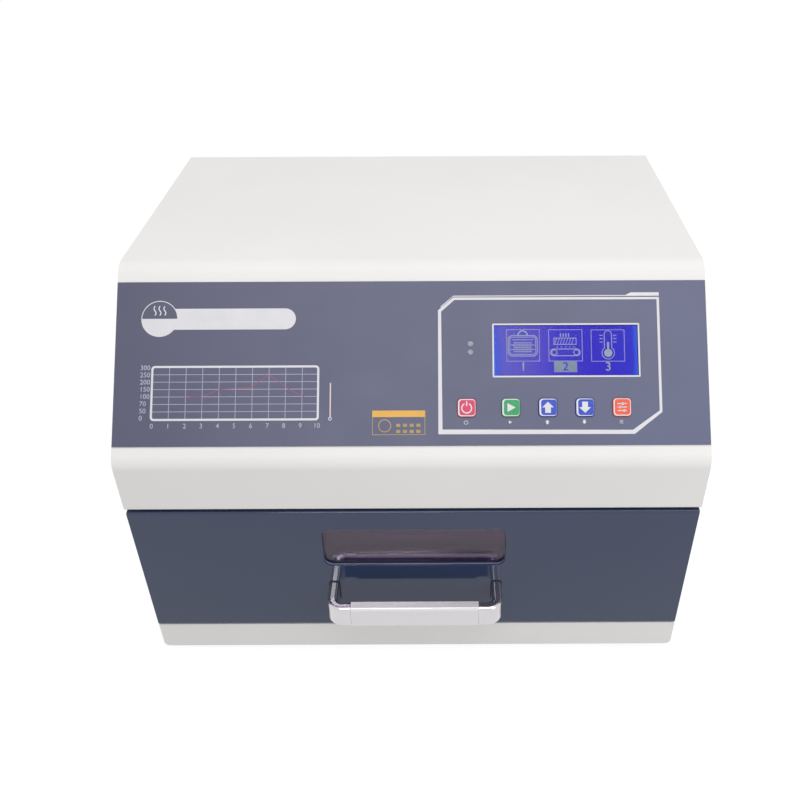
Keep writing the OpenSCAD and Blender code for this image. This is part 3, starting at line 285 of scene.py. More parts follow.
def makeFinish(name, look):
    # two close colours in soft patches, a roughness that drifts, and a fine grain
    mat, tree, shader = newFinish(name)
    coords = objectCoords(tree, look.get("stretch", (1, 1, 1)))
    patch = remap(tree, noiseAt(tree, coords, look["patch"], 4), 0, 1)
    colorBy(tree, shader, patch, look)
    drift = remap(tree, noiseAt(tree, coords, look["patch"] * driftRatio), *look["rough"])
    tree.links.new(drift, shader.inputs["Roughness"])
    grain = noiseAt(tree, coords, look["grain"], 2)
    addBump(tree, shader, grain, look.get("relief", 0.2), look.get("depth", 0.00005))
    for socket, value in look.get("sockets", {}).items():
        shader.inputs[socket].default_value = value
    return mat


metalSockets = {"Metallic": 1.0}
keySurface = {"patch": 160, "rough": (0.25, 0.33), "grain": 1800}
printSurface = {"patch": 110, "rough": (0.4, 0.5), "grain": 1500}
finishLooks = {
    "whitePaint": {"color": tone(237, 235, 234), "shade": tone(240, 238, 236), "patch": 9,
                   "rough": (0.42, 0.52), "grain": 620, "relief": 0.25,
                   "sockets": {"Specular IOR Level": 0.25}},
    "navyPaint": {"color": tone(45, 57, 86), "shade": tone(49, 61, 90), "patch": 7, "rough": (0.07, 0.11),
                  "grain": 500, "relief": 0.06},
    "keyRed": {"color": tone(214, 52, 96), "shade": tone(206, 44, 88), **keySurface},
    "keyGreen": {"color": tone(44, 160, 98), "shade": tone(38, 150, 90), **keySurface},
    "keyBlue": {"color": tone(50, 80, 196), "shade": tone(44, 72, 186), **keySurface},
    "keyOrange": {"color": tone(240, 100, 74), "shade": tone(232, 92, 68), **keySurface},
    "lampLens": {"color": tone(160, 156, 172), "shade": tone(138, 134, 152), "patch": 420,
                 "rough": (0.2, 0.3), "grain": 2500,
                 "sockets": {"Subsurface Weight": 0.2, "Subsurface Scale": 0.001}},
    "chrome": {"color": tone(212, 208, 210), "shade": tone(206, 203, 206), "patch": 60, "rough": (0.04, 0.08),
               "grain": 300, "relief": 0.02, "sockets": metalSockets},
    "satinAluminium": {"color": tone(229, 226, 229), "shade": tone(224, 221, 225), "patch": 30,
                       "rough": (0.11, 0.16), "grain": 900, "relief": 0.06, "stretch": (0.04, 1, 1),
                       "sockets": {"Metallic": 0.25}},
    "stainless": {"color": tone(202, 202, 204), "shade": tone(188, 188, 191), "patch": 26,
                  "rough": (0.22, 0.34), "grain": 1500, "relief": 0.2, "stretch": (0.05, 1, 1),
                  "sockets": metalSockets},
    "ceramic": {"color": tone(232, 228, 216), "shade": tone(220, 214, 200), "patch": 120,
                "rough": (0.6, 0.75), "grain": 1400, "relief": 0.4},
    "blackPlastic": {"color": tone(34, 34, 36), "shade": tone(42, 42, 45), "patch": 60, "rough": (0.42, 0.56),
                     "grain": 1900, "relief": 0.35},
    "motorSteel": {"color": tone(118, 121, 126), "shade": tone(104, 107, 112), "patch": 40,
                   "rough": (0.35, 0.5), "grain": 900},
    "rubber": {"color": tone(38, 38, 39), "shade": tone(48, 48, 49), "patch": 150, "rough": (0.72, 0.88),
               "grain": 2200, "relief": 0.5},
    "blueZinc": {"color": tone(112, 120, 152), "shade": tone(122, 130, 160), "patch": 80,
                 "rough": (0.35, 0.5), "grain": 900},
    # near white, so that the pane's seal shows as a painted reflection line in the window
    "sealPaintedReflectionWhite": {"color": tone(252, 246, 250), "shade": tone(246, 240, 244), "patch": 150,
                 "rough": (0.3, 0.45), "grain": 1200, "relief": 0.3},
    "rockerRed": {"color": tone(188, 34, 34), "shade": tone(178, 28, 28), "patch": 90, "rough": (0.22, 0.32),
                  "grain": 1500},
    "printWhite": {"color": tone(224, 222, 226), "shade": tone(217, 216, 221), **printSurface, "patch": 70},
    "printPale": {"color": tone(188, 188, 212), "shade": tone(176, 176, 204), **printSurface},
    "printRed": {"color": tone(168, 72, 112), "shade": tone(150, 80, 120), **printSurface},
    "printAmber": {"color": tone(230, 178, 80), "shade": tone(224, 170, 74), **printSurface},
    "printAmberDim": {"color": tone(176, 150, 96), "shade": tone(168, 142, 90), **printSurface},
}
finishes = {name: makeFinish(name, look) for name, look in finishLooks.items()}


def makePrintedFilm(look):
    # painted light and sheen: the film is darker on the left and runs lighter to the right, as the light
    # falls from the right, under a faint cloud
    mat, tree, shader = newFinish("printedFilmPaintedSheen")
    coords = objectCoords(tree)
    split = tree.nodes.new("ShaderNodeSeparateXYZ")
    tree.links.new(coords, split.inputs["Vector"])
    across = remap(tree, split.outputs["X"], 0, 1, -look["halfWidth"], look["halfWidth"])
    base = mixColors(tree, across, look["left"], look["right"])
    cloud = remap(tree, noiseAt(tree, coords, look["patch"], 3), 0, 1)
    tree.links.new(mixColors(tree, cloud, base, look["cloud"]), shader.inputs["Base Color"])
    driftRough(tree, shader, coords, look)
    addBump(tree, shader, noiseAt(tree, coords, look["grain"], 2), look["relief"], look["depth"])
    return mat


def makeZinc(look):
    # zinc plating with its crystals
    mat, tree, shader = newFinish("zincSteel")
    coords = objectCoords(tree)
    cells = tree.nodes.new("ShaderNodeTexVoronoi")
    cells.inputs["Scale"].default_value = look["crystals"]
    tree.links.new(coords, cells.inputs["Vector"])
    bright = remap(tree, cells.outputs["Color"], 0, 1, 0, 1)
    colorBy(tree, shader, bright, look)
    tree.links.new(remap(tree, bright, *look["rough"], 0, 1), shader.inputs["Roughness"])
    addBump(tree, shader, noiseAt(tree, coords, look["grain"]), look["relief"], look["depth"])
    shader.inputs["Metallic"].default_value = 1.0
    return mat


def makeWool(look):
    # mineral wool board: crossed fibres and loose tufts
    mat, tree, shader = newFinish("wool")
    fibres = noiseAt(tree, objectCoords(tree, look["fibreStretch"]), look["fibre"], 6)
    tufts = noiseAt(tree, objectCoords(tree, look["tuftStretch"]), look["tuft"], 5)
    height = tree.nodes.new("ShaderNodeMath")
    height.operation = "ADD"
    tree.links.new(fibres, height.inputs[0])
    tree.links.new(tufts, height.inputs[1])
    colorBy(tree, shader, remap(tree, tufts, 0, 1), look)
    addBump(tree, shader, height.outputs["Value"], look["relief"], look["depth"])
    shader.inputs["Roughness"].default_value = look["rough"]
    return mat


def makePane(look):
    mat, tree, shader = newFinish("pane")
    coords = objectCoords(tree)
    film = remap(tree, noiseAt(tree, coords, look["patch"], 3), 0, 1)
    colorBy(tree, shader, film, look)
    tree.links.new(remap(tree, film, *look["rough"], 0, 1), shader.inputs["Roughness"])
    shader.inputs["Transmission Weight"].default_value = 1.0
    shader.inputs["IOR"].default_value = look["ior"]
    shader.inputs["Specular Tint"].default_value = look["tint"]
    return mat


def makeDisplayPane(look):
    # thin clear plastic with a faint haze
    mat, tree, shader = newFinish("displayPane")
    haze = remap(tree, noiseAt(tree, objectCoords(tree), look["patch"], 3), 0, 1)
    colorBy(tree, shader, haze, look)
    tree.links.new(remap(tree, haze, *look["rough"], 0, 1), shader.inputs["Roughness"])
    shader.inputs["Alpha"].default_value = look["alpha"]
    return mat


def makeBoard(look):
    # solder mask over copper tracks
    mat, tree, shader = newFinish("circuitBoard")
    coords = objectCoords(tree)
    tracks = tree.nodes.new("ShaderNodeTexBrick")
    tracks.inputs["Scale"].default_value = look["tracks"]
    tracks.inputs["Mortar Size"].default_value = look["trackWidth"]
    tracks.inputs["Color1"].default_value = look["color"]
    tracks.inputs["Color2"].default_value = look["shade"]
    tracks.inputs["Mortar"].default_value = look["copper"]
    tree.links.new(coords, tracks.inputs["Vector"])
    tree.links.new(tracks.outputs["Color"], shader.inputs["Base Color"])
    driftRough(tree, shader, coords, look)
    addBump(tree, shader, tracks.outputs["Fac"], look["relief"], look["depth"])
    return mat


def makeCore(look):
    # stacked laminations under varnish
    mat, tree, shader = newFinish("ironCore")
    coords = objectCoords(tree)
    layers = tree.nodes.new("ShaderNodeTexWave")
    layers.bands_direction = "X"
    layers.inputs["Scale"].default_value = look["layers"]
    layers.inputs["Distortion"].default_value = look["waver"]
    tree.links.new(coords, layers.inputs["Vector"])
    colorBy(tree, shader, layers.outputs["Fac"], look)
    addBump(tree, shader, layers.outputs["Fac"], look["relief"], look["depth"])
    driftRough(tree, shader, coords, look)
    shader.inputs["Metallic"].default_value = look["metallic"]
    return mat


def makeQuartz(look):
    mat, tree, shader = newFinish("quartz")
    coords = objectCoords(tree, look["stretch"])
    cloud = remap(tree, noiseAt(tree, coords, look["patch"], 3), 0, 1)
    colorBy(tree, shader, cloud, look)
    tree.links.new(remap(tree, cloud, *look["rough"], 0, 1), shader.inputs["Roughness"])
    shader.inputs["Transmission Weight"].default_value = look["clear"]
    shader.inputs["IOR"].default_value = look["ior"]
    return mat


def makeBacklight(look):
    # the lit panel is bluer at its edges, lighter and more violet towards its left and deeper blue towards
    # its right
    mat, tree, shader = newFinish("backlight")
    coords = objectCoords(tree)
    split = tree.nodes.new("ShaderNodeSeparateXYZ")
    tree.links.new(coords, split.inputs["Vector"])
    along = remap(tree, split.outputs["X"], 0, 1, look["x0"], look["x1"])
    waver = remap(tree, noiseAt(tree, coords, look["patch"]), -look["waver"], look["waver"])
    total = tree.nodes.new("ShaderNodeMath")
    total.operation = "ADD"
    tree.links.new(along, total.inputs[0])
    tree.links.new(waver, total.inputs[1])
    ramp = tree.nodes.new("ShaderNodeValToRGB")
    stops = ramp.color_ramp.elements
    for place, color in look["stops"][1:-1]:
        stops.new(place).color = color
    stops[0].color = look["stops"][0][1]
    stops[-1].color = look["stops"][-1][1]
    tree.links.new(total.outputs["Value"], ramp.inputs["Fac"])
    tree.links.new(ramp.outputs["Color"], shader.inputs["Emission Color"])
    shader.inputs["Emission Strength"].default_value = 1.0
    shader.inputs["Base Color"].default_value = look["unlit"]
    shader.inputs["Roughness"].default_value = look["rough"]
    shader.inputs["Specular IOR Level"].default_value = 0.0
    return mat


def makeGlow(name, look):
    # segments of the display, lit from behind, and pale in the light from outside
    mat, tree, shader = newFinish(name)
    dots = remap(tree, noiseAt(tree, objectCoords(tree), look["patch"]), 0, 1)
    for socket in ("Emission Color", "Base Color"):
        tree.links.new(mixColors(tree, dots, look["color"], look["shade"]), shader.inputs[socket])
    shader.inputs["Emission Strength"].default_value = look["lit"]
    shader.inputs["Specular IOR Level"].default_value = 0.0
    return mat


# the left tone is painted shade and the right tone painted light and sheen on the film
finishes["printedFilmPaintedSheen"] = makePrintedFilm({
    "left": tone(80, 81, 105), "right": tone(97, 102, 132), "cloud": tone(90, 91, 115), "halfWidth": 0.21,
    "patch": 6, "drift": 30, "rough": (0.38, 0.5), "grain": 1300, "relief": 0.3, "depth": 0.00004})
finishes["zincSteel"] = makeZinc({
    "color": tone(190, 193, 196), "shade": tone(168, 172, 176), "crystals": 160, "rough": (0.28, 0.42),
    "grain": 900, "relief": 0.15, "depth": 0.00004})
finishes["wool"] = makeWool({
    "color": tone(232, 228, 214), "shade": tone(214, 208, 190), "fibre": 420, "fibreStretch": (0.15, 1, 1),
    "tuft": 150, "tuftStretch": (1, 0.3, 1), "rough": 0.95, "relief": 0.9, "depth": 0.0012})
finishes["pane"] = makePane({
    "color": tone(188, 178, 198), "shade": tone(182, 172, 192), "patch": 25, "rough": (0.0, 0.01),
    "ior": 1.54, "tint": tone(252, 238, 255)})
finishes["displayPane"] = makeDisplayPane({
    "color": tone(30, 30, 52), "shade": tone(36, 34, 56), "patch": 40, "rough": (0.05, 0.12), "alpha": 0.04})
finishes["circuitBoard"] = makeBoard({
    "color": tone(20, 92, 48), "shade": tone(26, 102, 55), "copper": tone(52, 132, 80), "tracks": 190,
    "trackWidth": 0.06, "drift": 90, "rough": (0.25, 0.4), "relief": 0.3, "depth": 0.00004})
finishes["ironCore"] = makeCore({
    "color": tone(66, 66, 68), "shade": tone(92, 92, 94), "layers": 320, "waver": 0.6, "drift": 60,
    "rough": (0.35, 0.55), "metallic": 0.4, "relief": 0.5, "depth": 0.0001})
finishes["quartz"] = makeQuartz({
    "color": tone(240, 238, 230), "shade": tone(228, 224, 212), "stretch": (0.2, 1, 1), "patch": 60,
    "rough": (0.12, 0.3), "clear": 0.55, "ior": 1.46})
finishes["backlight"] = makeBacklight({
    "x0": 0.0582, "x1": 0.1606, "patch": 35, "waver": 0.012, "unlit": tone(12, 10, 40), "rough": 0.5,
    "stops": [
        (0.0, tone(58, 112, 232)), (0.025, tone(80, 92, 212)), (0.07, tone(98, 96, 200)),
        (0.28, tone(93, 83, 199)), (0.45, tone(72, 62, 201)), (0.7, tone(60, 50, 197)),
        (0.96, tone(58, 56, 202)), (1.0, tone(62, 104, 234))]})
glowLooks = {
    "segments": {"color": tone(154, 160, 172), "shade": tone(144, 152, 166), "patch": 260, "lit": 0.3},
    "segmentBlock": {"color": tone(122, 136, 156), "shade": tone(130, 144, 162), "patch": 260, "lit": 0.25},
    "segmentDark": {"color": tone(58, 44, 196), "shade": tone(64, 52, 200), "patch": 260, "lit": 0.2},
}
for name, look in glowLooks.items():
    finishes[name] = makeGlow(name, look)
print("finishes made:", len(finishes))

nodeFinish = {
    "whitePaint": ["base_pan", "left_side_panel", "right_side_panel", "rear_panel", "top_cover"],
    "navyPaint": ["drawer_front"],
    "zincSteel": ["front_frame", "left_side_frame", "right_side_frame", "hood_shell", "electronics_shelf",
                  "slide_outer_left", "slide_outer_right", "slide_middle_left", "slide_middle_right",
                  "slide_inner_left", "slide_inner_right", "case_screws", "handle_screws", "drawer_shell"],
    "blueZinc": ["window_frame"],
    "wool": ["hood_insulation", "drawer_front_insulation", "drawer_insulation"],
    "stainless": ["hood_liner", "reflector", "thermocouple", "circulation_impeller", "exhaust_pipe",
                  "drawer_inner_panel", "drawer_tray", "wire_rack"],
    "quartz": ["heater_tubes"],
    "ceramic": ["tube_end_caps"],
    "motorSteel": ["circulation_motor"],
    "circuitBoard": ["power_board", "control_board"],
    "ironCore": ["transformer"],
    # the film's finish carries a painted left-to-right shade and sheen
    "printedFilmPaintedSheen": ["control_overlay"],
    "displayPane": ["lcd_window"],
    "lampLens": ["indicator_lights"],
    "blackPlastic": ["lcd_module", "cooling_fan_frame", "cooling_fan_rotor", "inlet_socket",
                     "switch_housing"],
    "chrome": ["fan_guard", "handle_corner_left", "handle_corner_right"],
    "satinAluminium": ["handle_bar"],
    "rockerRed": ["power_rocker"],
    "rubber": ["rubber_feet"],
    "pane": ["window_outer_glass", "window_inner_glass"],
    "keyRed": ["key_power"],
    "keyGreen": ["key_run"],
    "keyBlue": ["key_up", "key_down"],
    "keyOrange": ["key_set"],
}


def coat(obj, finishName):
    obj.data.materials.clear()
    obj.data.materials.append(finishes[finishName])


for finishName, nodeNames in nodeFinish.items():
    for nodeName in nodeNames:
        coat(nodes[nodeName], finishName)

# copies of CAD pieces with their edges broken, in millimetres, and their curves smooth
brokenEdges = {"handle_bar": 0.4, "handle_corner_left": 0.3, "handle_corner_right": 0.3, "drawer_front": 0.3,
               "top_cover": 0.3, "base_pan": 0.3, "left_side_panel": 0.2, "right_side_panel": 0.2,
               "rear_panel": 0.3, "key_power": 0.25, "key_run": 0.25, "key_up": 0.25, "key_down": 0.25,
               "key_set": 0.25, "rubber_feet": 0.6, "exhaust_pipe": 0.25, "cooling_fan_frame": 0.5,
               "inlet_socket": 0.4, "switch_housing": 0.4, "power_rocker": 0.4, "drawer_tray": 0.25,
               "drawer_shell": 0.2, "window_frame": 0.2, "indicator_lights": 0.0, "fan_guard": 0.0,
               "wire_rack": 0.0}
# doubles merge within a part of a metre, and the angles are in degrees
edgeLook = {"merge": 0.000002, "flatBelow": 0.4, "bevelFrom": 42, "segments": 2, "smoothBelow": 38,
            "weight": 90}


def breakEdges(nodeName, width, look):
    source = nodes[nodeName]
    obj = bpy.data.objects.new(nodeName + "_finished", source.data.copy())
    bpy.context.scene.collection.objects.link(obj)
    pick(obj)
    bpy.ops.mesh.customdata_custom_splitnormals_clear()
    bpy.ops.object.mode_set(mode="EDIT")
    bpy.ops.mesh.select_all(action="SELECT")
    bpy.ops.mesh.remove_doubles(threshold=look["merge"])
    bpy.ops.mesh.dissolve_limited(angle_limit=math.radians(look["flatBelow"]))
    bpy.ops.object.mode_set(mode="OBJECT")
    if width:
        applyModifier(obj, "BEVEL", width=width / 1000, segments=look["segments"], limit_method="ANGLE",
                      angle_limit=math.radians(look["bevelFrom"]))
    pick(obj)
    bpy.ops.object.shade_smooth_by_angle(angle=math.radians(look["smoothBelow"]))
    applyModifier(obj, "WEIGHTED_NORMAL", keep_sharp=True, weight=look["weight"])
    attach(obj, source["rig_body"])
    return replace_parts(obj, nodeName)


for nodeName, width in brokenEdges.items():
    breakEdges(nodeName, width, edgeLook)
print("edges broken:", len(brokenEdges))

# silicone bead along the foot of the inner pane, in millimetres; coloured near white, it is also a painted
# reflection: the bright line that the handle's bar throws in the glass
sealWithPaintedReflection = {"lap": 6.0, "corner": 5.0, "radius": 1.8, "sunk": 0.5, "sides": 12, "endRounding": 0.6,
        "segments": 3, "smoothBelow": 60}


def makeSeal(look):
    low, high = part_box("window_inner_glass")
    length = (high.x - low.x) * 1000 - 2 * look["lap"] - 2 * look["corner"]
    foot = Vector(((low.x + high.x) / 2, low.y, low.z)) * 1000
    place = foot + Vector((0, -look["radius"] * look["sunk"], look["lap"]))
    deselectAll()
    bpy.ops.mesh.primitive_cylinder_add(vertices=look["sides"], radius=look["radius"], depth=length,
                                        end_fill_type="NGON", rotation=(0, math.radians(90), 0),
                                        location=place)
    bead = settle()
    bead.name = bead.data.name = "windowSealPaintedReflection"
    bpy.ops.object.shade_smooth_by_angle(angle=math.radians(look["smoothBelow"]))
    applyModifier(bead, "BEVEL", width=look["radius"] * look["endRounding"], segments=look["segments"],
                  limit_method="ANGLE", angle_limit=math.radians(look["smoothBelow"]))
    applyPlace(bead, Matrix.Scale(0.001, 4))
    # the near-white coat makes the bead a painted reflection line as well as a seal
    coat(bead, "sealPaintedReflectionWhite")
    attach(bead, "drawer")
    return bead


makeSeal(sealWithPaintedReflection)

# thin dark washers between the handle's legs and the drawer's face, in millimetres
washer = {"legWidth": 7.7, "margin": 0.45, "width": 1.6, "corner": 2.6, "thickness": 0.7}


def makeWasher(nodeName, look):
    # the leg is the outer part of the corner casting, at its rear end
    low, high = (corner * 1000 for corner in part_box(nodeName))
    onRight = high.x > 0
    x0, x1 = (high.x - look["legWidth"], high.x) if onRight else (low.x, low.x + look["legWidth"])
    margin = look["margin"]
    ring = drawFrame(x0 - margin, low.z - margin, x1 + margin, high.z + margin, look["width"], look["corner"])
    applyModifier(ring, "SOLIDIFY", thickness=look["thickness"], offset=0)
    standing = Matrix.Rotation(math.radians(90), 4, "X")
    rearFace = Matrix.Translation((0, high.y - look["thickness"] / 2, 0))
    applyPlace(ring, Matrix.Scale(0.001, 4) @ rearFace @ standing)
    ring.name = ring.data.name = nodeName + "_washer"
    coat(ring, "rubber")
    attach(ring, "drawer")
    return ring


for nodeName in ("handle_corner_left", "handle_corner_right"):
    makeWasher(nodeName, washer)
print("window seal and washers made")

# pan head screws on the rear, in millimetres
rearScrew = {"radius": 3.6, "height": 2.3, "rounding": 1.1, "segments": 4, "sides": 24, "slotLength": 4.4,
             "slotWidth": 0.85, "slotDepth": 1.1, "smoothBelow": 35, "turn": 25.0}
rearHoles = {"guardScrews": {"on": "fan_guard", "reach": 35.75, "face": 4.8, "square": True},
             "flangeScrews": {"on": "exhaust_pipe", "reach": 26.16, "face": 1.5, "square": True},
             "inletScrews": {"on": "inlet_socket", "reach": 20.0, "face": 3.0, "square": False}}


def makeScrewHead(look):
    # stands on the origin with its crossed slot upwards
    deselectAll()
    bpy.ops.mesh.primitive_cylinder_add(vertices=look["sides"], radius=look["radius"], depth=look["height"],
                                        end_fill_type="NGON", location=(0, 0, look["height"] / 2))
    head = settle()
    for face in head.data.polygons:
        face.select = face.normal.z > 0.9  # its top
    bpy.ops.object.mode_set(mode="EDIT")
    bpy.ops.mesh.select_mode(type="FACE")
    bpy.ops.mesh.bevel(offset=look["rounding"], segments=look["segments"], affect="EDGES")
    bpy.ops.mesh.select_mode(type="VERT")
    bpy.ops.object.mode_set(mode="OBJECT")
    for size in ((look["slotLength"], look["slotWidth"]), (look["slotWidth"], look["slotLength"])):
        deselectAll()
        bpy.ops.mesh.primitive_cube_add(size=1, location=(0, 0, look["height"]))
        bpy.context.object.scale = (*size, look["slotDepth"] * 2)
        cutter = settle()
        applyModifier(head, "BOOLEAN", operation="DIFFERENCE", object=cutter, solver="EXACT")
        bpy.data.objects.remove(cutter, do_unlink=True)
    pick(head)
    bpy.ops.object.shade_smooth_by_angle(angle=math.radians(look["smoothBelow"]))
    return head


def placeScrews(name, head, look, turn):
    # four in a square round the middle of a part, or two on its sides, each turned a little more
    low, high = (corner * 1000 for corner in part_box(look["on"]))
    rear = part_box("rear_panel")[1].y * 1000 + look["face"]
    heights = (-look["reach"], look["reach"]) if look["square"] else (0,)
    backwards = Matrix.Rotation(math.radians(-90), 4, "X")
    copies = []
    for x in (-look["reach"], look["reach"]):
        for z in heights:
            copy = bpy.data.objects.new(name, head.data.copy())
            bpy.context.scene.collection.objects.link(copy)
            spot = Matrix.Translation(((low.x + high.x) / 2 + x, rear, (low.z + high.z) / 2 + z))
            facing = backwards @ Matrix.Rotation(math.radians(turn * len(copies)), 4, "Z")
            copies.append(applyPlace(copy, Matrix.Scale(0.001, 4) @ spot @ facing))
    obj = joinAll(copies)
    obj.name = obj.data.name = name
    coat(obj, "zincSteel")
    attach(obj, "case")
    return obj


screwHead = makeScrewHead(rearScrew)
for name, look in rearHoles.items():
    placeScrews(name, screwHead, look, rearScrew["turn"])
bpy.data.objects.remove(screwHead, do_unlink=True)
print("rear screws made")

# the sloping face: X across, Y up the slope, Z out of the film, in millimetres
pressAxis = next(j["axis"] for j in frame["joints"] if j["name"] == "power_key_press")
outward = -Vector(pressAxis)
upSlope = Vector((0, outward.z, -outward.y))
filmThickness = 0.0008
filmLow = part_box("control_overlay")[0]
slopeOrigin = Vector((0, filmLow.y, filmLow.z + filmThickness * outward.z))
slopePlace = Matrix.Translation(slopeOrigin) @ Matrix((
    (1, 0, 0), (0, upSlope.y, outward.y), (0, upSlope.z, outward.z))).to_4x4() @ Matrix.Scale(0.001, 4)


def layPrint(name, shapes, finish, body="case", lift=0.0, thickness=0.05):
    # ink of a little thickness, laid on the slope
    obj = joinAll(shapes)
    obj.name = obj.data.name = name
    applyModifier(obj, "SOLIDIFY", thickness=thickness, offset=0)
    applyPlace(obj, slopePlace @ Matrix.Translation((0, 0, lift + thickness / 2)))
    coat(obj, finish)
    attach(obj, body)
    return obj


# badge with three rising waves, and a bare bar beside it
badge = {"x": -178.7, "y": 91.0, "radius": 13.0, "line": 0.55, "barEnd": -82.0, "barLow": 83.1,
         "barHigh": 98.2, "waveX": (-182.2, -178.7, -175.2), "waveLow": 93.4, "waveHigh": 100.2,
         "waveWidth": 0.75, "waveSteps": 12, "swing": 0.75}


def drawBadge(look):
    low = math.degrees(math.asin((look["barLow"] - look["y"]) / look["radius"]))
    high = math.degrees(math.asin((look["barHigh"] - look["y"]) / look["radius"]))
    half = (look["barHigh"] - look["barLow"]) / 2
    outline = arcPoints(look["x"], look["y"], look["radius"], 180, 360 + low, 24)
    outline += arcPoints(look["barEnd"] - half, look["barLow"] + half, half, -90, 90, 16)
    outline += arcPoints(look["x"], look["y"], look["radius"], high, 0, 8)
    upperArc = arcPoints(look["x"], look["y"], look["radius"] - look["line"] / 2, 0, 180, 32)
    shapes = [drawLoops(outline), drawStroke(upperArc, look["line"])]
    for x in look["waveX"]:
        steps = [i / look["waveSteps"] for i in range(look["waveSteps"] + 1)]
        rise = look["waveHigh"] - look["waveLow"]
        wave = [(x + look["swing"] * math.sin(2 * math.pi * t), look["waveLow"] + rise * t) for t in steps]
        shapes.append(drawStroke(wave, look["waveWidth"]))
    return shapes


layPrint("badgePrint", drawBadge(badge), "printWhite")

# chart with its grid and figures, and a curve over it
chart = {"x0": -183.4, "y0": 18.2, "x1": -64.9, "y1": 57.2, "frame": 1.5, "corner": 2.6, "line": 0.36,
         "firstColumn": -182.2, "columnPitch": 11.7, "columns": 9, "firstRow": 19.35, "rowPitch": 5.26,
         "rows": 6, "inset": 1, "figures": 3.4, "figureWeight": 0.05, "figureY": 14.4, "lastFigure": 10,
         "figureSpread": 0.99, "labelX": -191.3, "labelY": 20.0, "labelPitch": 5.1,
         "labels": ["0", "50", "70", "100", "150", "200", "250", "300"]}
chartFrame = drawFrame(chart["x0"], chart["y0"], chart["x1"], chart["y1"], chart["frame"], chart["corner"])
gridLines = []
for i in range(1, chart["columns"] + 1):
    x = chart["firstColumn"] + i * chart["columnPitch"]
    gridLines.append(drawRect(x - chart["line"] / 2, chart["y0"] + chart["inset"],
                              x + chart["line"] / 2, chart["y1"] - chart["inset"]))
for i in range(1, chart["rows"] + 1):
    y = chart["firstRow"] + i * chart["rowPitch"]
    gridLines.append(drawRect(chart["x0"] + chart["inset"], y - chart["line"] / 2,
                              chart["x1"] - chart["inset"], y + chart["line"] / 2))
figures = []
for i in range(chart["lastFigure"] + 1):
    x = chart["firstColumn"] + i * chart["columnPitch"] * chart["figureSpread"]
    figures.append(drawText(str(i), x, chart["figureY"], chart["figures"], weight=chart["figureWeight"]))
for i, label in enumerate(chart["labels"]):
    y = chart["labelY"] + i * chart["labelPitch"]
    figures.append(drawText(label, chart["labelX"], y, chart["figures"], "LEFT", chart["figureWeight"]))
layPrint("chartFramePrint", [chartFrame], "printWhite", lift=0.03)
layPrint("chartGridPrint", gridLines, "printPale")
layPrint("chartFigures", figures, "printPale")

chartCurve = {"path": [(-160.5, 34.8), (-147.1, 35.3), (-134.8, 40.4), (-113.3, 41.4), (-100.5, 50.7),
                       (-87.4, 41.0), (-75.4, 34.9)], "width": 0.5}
layPrint("chartCurvePrint", [drawStroke(chartCurve["path"], chartCurve["width"])], "printRed", lift=0.02)

# stem mark beside the chart
stem = {"path": [(-57.0, 20.4), (-57.0, 44.6)], "width": 0.8, "ring": (-57.1, 19.3), "ringRadius": 1.25,
        "ringWidth": 0.5, "ringSides": 20, "redPath": [(-56.4, 20.6), (-56.4, 45.8)], "redWidth": 0.45}
stemRing = drawRing(*stem["ring"], stem["ringRadius"], stem["ringWidth"], stem["ringSides"])
layPrint("stemMarkPrint", [drawStroke(stem["path"], stem["width"]), stemRing], "printWhite")
layPrint("stemMarkRed", [drawStroke(stem["redPath"], stem["redWidth"])], "printRed")

# plate with a header, a ring and two rows of blocks
plate = {"x0": -27.5, "y0": 7.7, "x1": 9.7, "y1": 24.9, "header": 4.6, "line": 0.5, "ring": (-18.7, 14.2),
         "ringRadius": 4.6, "ringWidth": 0.7, "blockX": -9.2, "blockY": 10.2, "columns": 4, "rows": 2,
         "columnPitch": 4.7, "rowPitch": 4.3, "blockHalf": (1.5, 1.1), "blockCorner": 0.5}
plateHeader = drawRect(plate["x0"], plate["y1"] - plate["header"], plate["x1"], plate["y1"])
layPrint("amberPlateHeader", [plateHeader], "printAmber", lift=0.02)
plateShapes = [drawFrame(plate["x0"], plate["y0"], plate["x1"], plate["y1"], plate["line"]),
               drawRing(*plate["ring"], plate["ringRadius"], plate["ringWidth"])]
halfWide, halfHigh = plate["blockHalf"]
for row in range(plate["rows"]):
    for column in range(plate["columns"]):
        x, y = plate["blockX"] + column * plate["columnPitch"], plate["blockY"] + row * plate["rowPitch"]
        block = drawRect(x - halfWide, y - halfHigh, x + halfWide, y + halfHigh, plate["blockCorner"])
        plateShapes.append(block)
layPrint("amberPlateLines", plateShapes, "printAmberDim")

# frame round the keys and the display, with a second line along its top
keypad = {"outer": [(18.9, 8.1), (18.9, 96.4), (29.8, 105.6), (176.2, 105.4), (176.2, 23.2), (156.4, 7.8)],
          "inner": [(21.8, 11.4), (21.1, 95.4), (30.5, 103.8), (174.5, 103.8), (174.3, 24.2), (155.2, 10.7)],
          "upperLine": [(20.6, 99.0), (29.2, 106.35), (29.6, 106.9), (152.4, 106.9), (156.0, 108.8),
                        (176.2, 108.8), (176.2, 106.3), (29.6, 106.2), (21.1, 98.5)]}
displayFrame = {"x0": 57.3, "y0": 48.1, "x1": 161.6, "y1": 86.6, "width": 1.1, "corner": 0.6}
layPrint("keypadFramePrint", [
    drawLoops(keypad["outer"], keypad["inner"]), drawLoops(keypad["upperLine"]),
    drawFrame(displayFrame["x0"], displayFrame["y0"], displayFrame["x1"], displayFrame["y1"],
              displayFrame["width"], displayFrame["corner"])], "printWhite")
print("slope prints laid")

